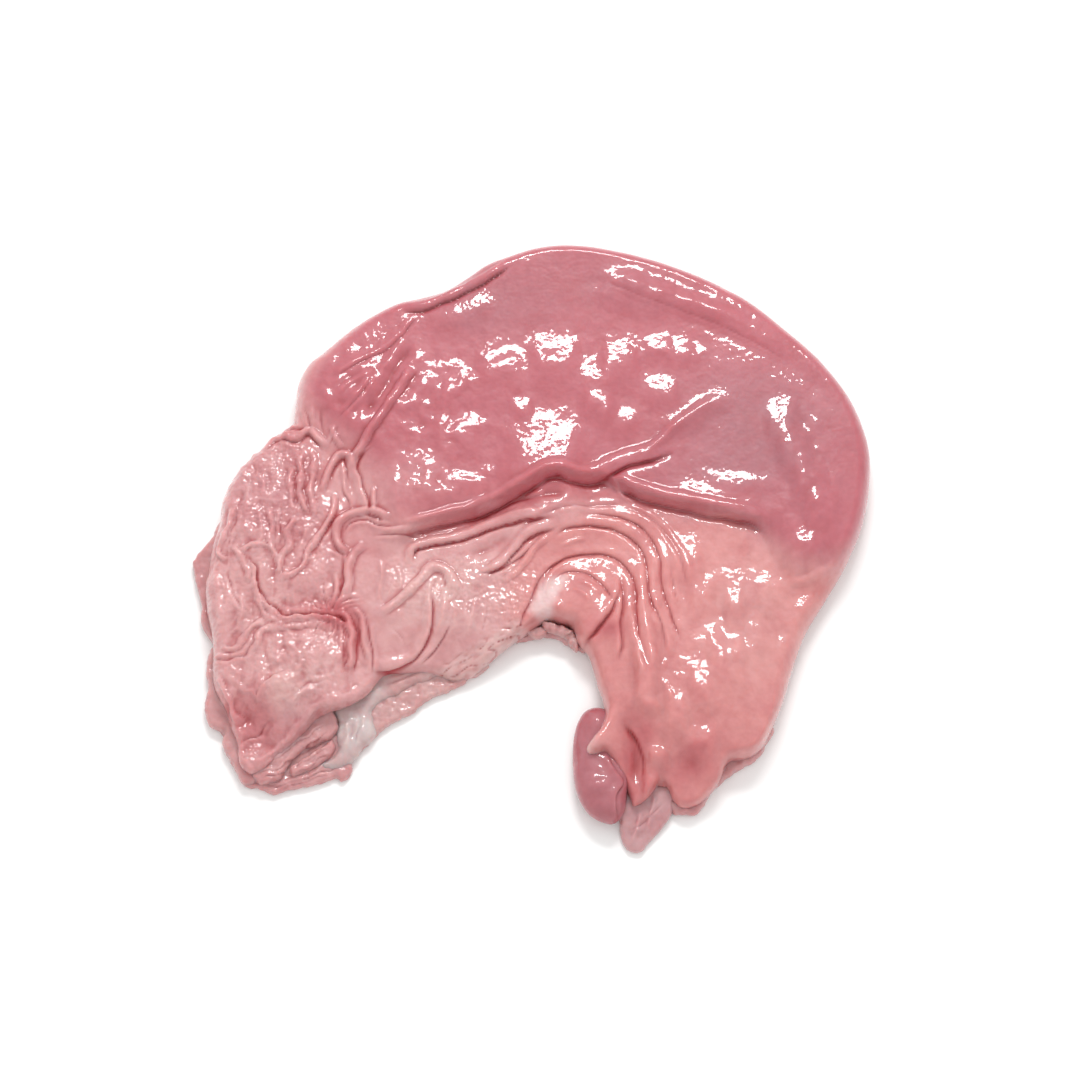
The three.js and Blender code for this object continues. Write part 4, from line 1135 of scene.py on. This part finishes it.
# Where the wall is thin and white over the notch
WHITE_REGION = [
    (-1, -35), (0, -30), (2.5, -25), (5, -21.5), (10, -19.5), (15.5, -19.5), (13, -24), (9.5, -28.5),
    (8.5, -33), (8, -37.5), (3, -38.5),
]
# Where it is paler, duskier or redder: place, radius and strength
PALE_SPOTS = [
    ((-106, -73), (9, 7), 0.55), ((23, -96), (5, 7), 0.8), ((38, -121), (4, 6), 0.4),
    ((-28, -26), (24, 18), 0.5), ((-52, -30), (22, 22), 0.35), ((-100, -62), (24, 18), 0.35),
    ((-120, -30), (16, 20), 0.25), ((-58, 22), (20, 12), 0.25), ((4, 12), (34, 7), 0.12),
    ((94, -40), (20, 30), 0.25),
]
# Dusky spots: the lining's own mauve tone, partly a painted sheen where a broad reflection greys it
DUSKY_SHEEN_SPOTS = [
    ((-112, 20), (24, 28), 0.3), ((100, 52), (34, 26), 0.7), ((84, 26), (40, 14), 0.35),
    ((-100, -85.2), (16, 12), 0.3), ((20, 118), (50, 16), 0.35), ((-20, 104), (22, 14), 0.4),
]
# Redder spots: partly the flesh's own redder patches, partly painted shade in the hollows, deep creases and
# under the folds
BLUSH_AND_SHADE_SPOTS = [
    ((44, -112), (10, 9), 0.4), ((67, -108), (13, 8), 0.4), ((-38, 6), (22, 5), 0.4),
    ((14, 26), (26, 5), 0.4), ((62, 14), (30, 5), 0.4), ((-104, 20), (16, 20), 0.2),
    ((-66, -14), (14, 12), 0.25), ((-4, 17), (28, 6), 0.45), ((26, 20), (16, 4), 0.4),
    ((-98, -36), (16, 5), 0.5), ((-79, -49), (5, 14), 0.7), ((-85.5, -37), (8, 5), 0.8),
    ((-118, -81.6), (12, 12), 0.7), ((42, -96), (7, 14), 0.8), ((70, -99.6), (9, 9), 0.55),
    ((31, -43), (9, 5), 0.7), ((-80, 3), (9, 7), 0.35), ((-106, 46), (14, 6), 0.3),
]


def small_spacing(_):
    """The small pieces' mesh is as fine all over."""
    return SMALL_GRID


def stomach_across(x):
    """The mesh is fine over the lobe, and coarser towards the smooth body on the right."""
    return FINE_GRID + 0.6 * (COARSE_GRID - FINE_GRID) * smooth((x + 60) / 20)


def stomach_back(y):
    """The mesh is fine over the folds, and coarser over the far side of the body."""
    return FINE_GRID + (COARSE_GRID - FINE_GRID) * smooth((y - 44) / 16)


def give_share(mesh, name, share):
    """Keeps a share for each of the skin's places, for the material to read."""
    layer = mesh.attributes.new(name, "FLOAT", "POINT")
    values = np.zeros(len(mesh.vertices), np.float32)
    values[: len(share)] = share
    layer.data.foreach_set("value", values)


def stand(mesh, material):
    """Puts a piece of the stomach in the frame's place and lets it ride."""
    mesh.materials.append(material)
    mesh.transform(PLAN_SHIFT)
    piece = bpy.data.objects.new(mesh.name, mesh)
    bpy.context.scene.collection.objects.link(piece)
    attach(piece, "root")
    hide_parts("stomach")


HOLLOW_START, HOLLOW_MOST = 0.07, 0.95
CREST_GAIN, CREST_START, CREST_MOST = 0.6, 0.08, 0.8


def give_folds_share(mesh, pillow, x, y, relief, radius, depth=0.75):
    """Tells the material where the skin is hollow and where it stands proud, for painted shade in the hollows
    and painted sheen on the crests.
    """
    proud = relief.height - heights_near(pillow, x, y, radius)
    give_share(mesh, "hollow", np.clip(-depth * proud - HOLLOW_START, 0, HOLLOW_MOST))
    give_share(mesh, "crest", np.clip(CREST_GAIN * proud - CREST_START, 0, CREST_MOST))


def make_stomach(material):
    """The whole bag with its folds, and the shares that colour it."""
    pillow = Pillow(STOMACH_OUTLINE, stomach_reach, stomach_crown, floor=stomach_floor, relief=stomach_relief)
    mesh, x, y, relief = pillow_mesh("stomach_lining", pillow, stomach_across, stomach_back)
    wander_x, wander_y = x + 5 * grain(x, y, 20, 31), y + 4 * grain(x, y, 15, 32)
    give_share(mesh, "body", soft_region(BODY_REGION, wander_x, y, 8))
    give_share(mesh, "pyloric", soft_region(PYLORIC_REGION, x, wander_y, 6))
    # the dusky share is partly painted sheen
    give_share(mesh, "dusky_sheen", spots(wander_x, wander_y, DUSKY_SHEEN_SPOTS))
    # the blush share is partly painted shade
    give_share(mesh, "blush_and_shade", spots(wander_x, wander_y, BLUSH_AND_SHADE_SPOTS))
    give_share(mesh, "white", soft_region(WHITE_REGION, x + grain(x, y, 4, 33), y, 2.4))
    give_share(mesh, "pale", np.maximum(0.8 * soft_region(STRIP_REGION, x, y, 3), spots(x, y, PALE_SPOTS)))
    # the small fields lie nearly smooth on the body, and stand out on the shrunken lobe
    uneven = 0.5 + 0.5 * grain(x, y, 13, 71)
    crinkled = np.maximum(lobe_share(x, y), spots(x, y, CRINKLED_SPOTS))
    give_share(mesh, "rough", 0.1 + 0.18 * uneven + crinkled * (0.48 + 0.45 * uneven))
    give_folds_share(mesh, pillow, x, y, relief, 2.4, 0.95)
    stand(mesh, material)


def wrinkled(height, size, folds=()):
    """The relief of a small piece: its own folds, and wrinkles of a height and a size."""

    def relief_of(relief, x, y):
        relief.lay_all(folds)
        relief.height += height * (grain(x, y, size, 61) + 0.5 * grain(x, y, 0.45 * size, 62))

    return relief_of


def make_layer(name, outline, top, reach, material, wrinkles, low=0, ragged=0.5, white=None):
    """One of the thin pieces of wall round the stomach's edge."""
    crown = top if callable(top) else even(top)
    pillow = Pillow(outline, even(reach), crown, floor=even(low), relief=wrinkles, ragged=ragged)
    mesh, x, y, relief = pillow_mesh(name, pillow, small_spacing, small_spacing)
    if white:
        give_share(mesh, "white", white(x, y))
    give_share(mesh, "rough", np.full(len(x), 0.6))
    give_folds_share(mesh, pillow, x, y, relief, 1.6)
    stand(mesh, material)


def make_layers(cut_wall, fibrous):
    """The layers of wall that show under its edge, from the left lobe round to the pylorus."""
    make_layer("left_flap", LEFT_FLAP, 5.5, 1.8, cut_wall, wrinkled(0.5, 6))
    make_layer("lower_left_flap", LOWER_LEFT_FLAP, 6, 2, cut_wall, wrinkled(0.5, 6))
    make_layer("tail_fringe", TAIL_FRINGE, 3.6, 1.3, cut_wall, wrinkled(0.5, 4, FRINGE_FOLDS), ragged=0.9)
    make_layer("tail_layer", TAIL_LAYER, 7.5, 1.6, cut_wall, wrinkled(0.35, 4, TAIL_FOLDS), ragged=0.7)
    make_layer("curled_layer", CURLED_LAYER, 6, 1.7, cut_wall, wrinkled(0.4, 4, CURLED_FOLDS))
    make_layer(
        "white_tissue", WHITE_TISSUE, 6.2, 3.4, fibrous, wrinkled(0.5, 7, TISSUE_FOLDS), white=tissue_white
    )
    make_layer("strip_layer", STRIP_LAYER, 4, 1.5, fibrous, wrinkled(0.5, 3.4), ragged=0.9)
    make_layer("notch_layer", NOTCH_LAYER, 4.5, 1.5, cut_wall, wrinkled(0.4, 4), ragged=0.8)
    make_layer("pyloric_hem", HEM_LAYER, 4.5, 1.8, cut_wall, wrinkled(0.4, 5))


def tissue_white(x, y):
    """The connective tissue is whitest next to the tail, and fades into pink wall."""
    return smooth((-58 - x) / 12)


FRINGE_FOLDS = [
    ("tuck", 2.4, 1.1, [(-122, -106.8), (-112, -109.5), (-101, -108.2), (-90, -104.1), (-82, -100.5)]),
    ("tuck", 2.2, 1.0, [(-116, -110), (-106, -110.4), (-96, -108.2), (-86, -105)]),
    ("furrow", 2.4, 1.0, [(-104, -97.8), (-96, -94.2), (-90, -90.6), (-84, -87)]),
]
TAIL_FOLDS = [
    ("tuck", 1.8, 1.2, [(-118, -105), (-110, -104.2), (-104, -99.8), (-97, -93.5), (-88, -87)]),
    ("tuck", 1.5, 1.0, [(-115, -107.6), (-108, -105.9), (-103, -101.4), (-95, -95.5), (-87, -90)]),
    ("tuck", 1.5, 1.0, [(-112, -100.2), (-105, -96), (-98, -90.6), (-89, -84)]),
    ("tuck", 1.4, 0.9, [(-106, -93), (-99, -87.5), (-91, -81)]),
]
CURLED_FOLDS = [
    ("tuck", 1.6, 1.1, [(-103, -103.2), (-95, -98.4), (-88, -94.2)]),
    ("tuck", 1.3, 0.9, [(-102, -105.4), (-94, -101.2), (-86.5, -96.6)]),
    ("ridge", 1.1, 0.6, [(-100, -101.6), (-93, -96.4), (-87, -92.6)]),
]
TISSUE_FOLDS = [
    ("ridge", 3, 1.0, [(-80, -78), (-79, -87), (-80, -96.9)]),
    ("furrow", 3.2, 0.9, [(-74, -76), (-74, -85.2), (-77, -95.1)]),
    ("furrow", 2.8, 0.9, [(-64, -66), (-54, -62), (-44, -57)]),
]


TORUS_FOLDS = [
    ("swell", 5, 1.2, [(18, -115), (26, -113), (36, -110)]),
    ("swell", 5, 0.9, [(18, -97), (25, -98), (32, -100)]),
    ("tuck", 3, 1.4, [(36, -128.4), (35.5, -116.7), (38.5, -110.4), (35.5, -105.9), (31, -96.9)]),
]


TORUS_HEIGHT, TORUS_THINNING = 15, 3  # at its near end, and how much lower its far end lies


def torus_crown(x, y):
    """The lump is tallest at its near end, which lies clear of the lip."""
    return TORUS_HEIGHT + TORUS_THINNING * smooth((-90 - y) / 26) - TORUS_THINNING


def make_torus(muscle):
    """The pylorus's muscular lump, which lies under its lip."""
    pillow = Pillow(TORUS, even(9), torus_crown, waist=0.42, relief=wrinkled(0.35, 8, TORUS_FOLDS))
    mesh, x, y, relief = pillow_mesh("pyloric_torus", pillow, small_spacing, small_spacing)
    give_share(mesh, "rough", np.full(len(x), 0.3))
    give_folds_share(mesh, pillow, x, y, relief, 2.0)
    stand(mesh, muscle)


def tongue_top(x, y):
    """The tongue thins towards its tip."""
    return 3.6 + 1.6 * smooth((y + 140) / 24)


TONGUE_FOLDS = [
    ("furrow", 2.6, 0.9, [(39.5, -130.2), (47.5, -126.2), (52, -121.2), (56, -116.7)]),
    ("ridge", 1.8, 0.8, [(41, -136.5), (44, -129.3), (46, -121.2)]),
    ("ridge", 1.4, 0.6, [(48, -132), (50, -123), (52, -114)]),
]


def make_tongue(membrane):
    """The start of the gut, cut short: a thin, pale sheet that lies on the table."""
    wrinkles = wrinkled(0.25, 4, TONGUE_FOLDS)
    make_layer("gut_tongue", GUT_TONGUE, tongue_top, 1.8, membrane, wrinkles, ragged=0.3)


# Torn slips of the cut wall at the notch: outline, height and how far it stands over the table
NOTCH_SHREDS = [
    (
        [(3, -38), (7, -37.8), (11, -38.8), (14.5, -40.4), (17, -43), (14, -44.4), (10, -42.6), (5, -41.2)],
        10, 4,
    ),
    ([(14, -41), (17.6, -42), (20, -46.5), (19, -50.5), (16, -48), (13.6, -44)], 8.5, 3),
    ([(-4, -42), (1.5, -39.8), (6, -39.8), (6, -42.6), (0, -44.4)], 8, 3),
]


def make_shreds(fibrous):
    """Cut tissue in the notch."""
    for k, (outline, top, low) in enumerate(NOTCH_SHREDS):
        make_layer(f"notch_shred_{k}", outline, top, 0.8, fibrous, wrinkled(0.5, 2), low=low, ragged=0.6)


# The studio


FLOOR_HALF = 3.0  # in metres; its edges lie outside the picture


def make_floor():
    """The white board that the stomach lies on."""
    half = FLOOR_HALF
    corners = [(-half, -half, 0), (half, -half, 0), (half, half, 0), (-half, half, 0)]
    mesh = bpy.data.meshes.new("floor")
    mesh.from_pydata(corners, [], [(0, 1, 2, 3)])
    mesh.materials.append(matt_board())
    floor = bpy.data.objects.new("floor", mesh)
    bpy.context.scene.collection.objects.link(floor)


CAMERA_ELEVATION = math.radians(70)
PICTURE_PIXELS, PIXEL = 1080, 0.44  # the photograph's width in pixels, and a pixel's on the table
FRAME_WIDTH = PICTURE_PIXELS * PIXEL
PICTURE_CENTRE = (3.1, 2.8)
LENS, SENSOR = 100, 36
CLIP_END = 20

# One softbox high behind the stomach, in metres and watts, mirrored in the wet skin
KEY_DIRECTION, KEY_AWAY, KEY_SIZE, KEY_POWER = (0.05, 0.64, 0.77), 1.4, (0.5, 0.22), 9.5


def add_camera():
    """The photograph looks down at 70 degrees, from far off."""
    camera = bpy.data.objects.new("camera", bpy.data.cameras.new("camera"))
    camera.data.sensor_width = SENSOR
    camera.data.lens = LENS
    camera.data.clip_end = CLIP_END
    away = FRAME_WIDTH * LENS / SENSOR
    target_x, target_y = (at + shift for at, shift in zip(PICTURE_CENTRE, PLAN_TO_FRAME))
    back, up = away * math.cos(CAMERA_ELEVATION), away * math.sin(CAMERA_ELEVATION)
    camera.location = (target_x * MM, (target_y - back) * MM, up * MM)
    camera.rotation_euler = (math.pi / 2 - CAMERA_ELEVATION, 0, 0)
    bpy.context.scene.collection.objects.link(camera)
    bpy.context.scene.camera = camera


def add_softbox(name, direction, away, size, power):
    """A softbox that faces the stomach from a direction."""
    lamp = bpy.data.lights.new(name, "AREA")
    lamp.shape = "RECTANGLE"
    lamp.size, lamp.size_y = size
    lamp.energy = power
    softbox = bpy.data.objects.new(name, lamp)
    towards = Vector(direction).normalized()
    softbox.location = towards * away
    softbox.rotation_euler = towards.to_track_quat("Z", "Y").to_euler()
    bpy.context.scene.collection.objects.link(softbox)


def light_studio():
    """An even white room and one softbox."""
    world = bpy.data.worlds.new("studio")
    world.use_nodes = True
    background = world.node_tree.nodes["Background"]
    background.inputs["Color"].default_value = (1, 1, 1, 1)
    background.inputs["Strength"].default_value = 1.0
    bpy.context.scene.world = world
    add_softbox("key", KEY_DIRECTION, KEY_AWAY, KEY_SIZE, KEY_POWER)
    bpy.context.scene.view_settings.view_transform = "Standard"


# Washed stomach lining: a full film of water and slime over it, so it shines like glass
make_stomach(raw_flesh("wet_lining", "#cc9696", LINING_TINTS, 1.0, 0.18, 0.46))
# The wall where it was cut: less wet than the lining, so its shine is weaker, and more puckered
cut_wall = raw_flesh("cut_wall", "#c29090", [], 0.7, 0.4, 0.3)
# Connective tissue that was torn: whitish next to the tail, and the least wet of all
fibrous = raw_flesh("fibrous_tissue", "#c49a98", [("white", "#c3b3b1")], 0.6, 0.4, 0.3)
make_layers(cut_wall, fibrous)
make_shreds(fibrous)
# Solid muscle in its own smooth skin: darker, with few and clean highlights
make_torus(raw_flesh("wet_muscle", "#a8626a", [], 0.9, 0.25, 0.1))
# Thin gut wall: a greyish pink sheet, smooth and wet
make_tongue(raw_flesh("gut_membrane", "#bb8e90", [], 0.9, 0.3, 0.08))

make_floor()
add_camera()
light_studio()
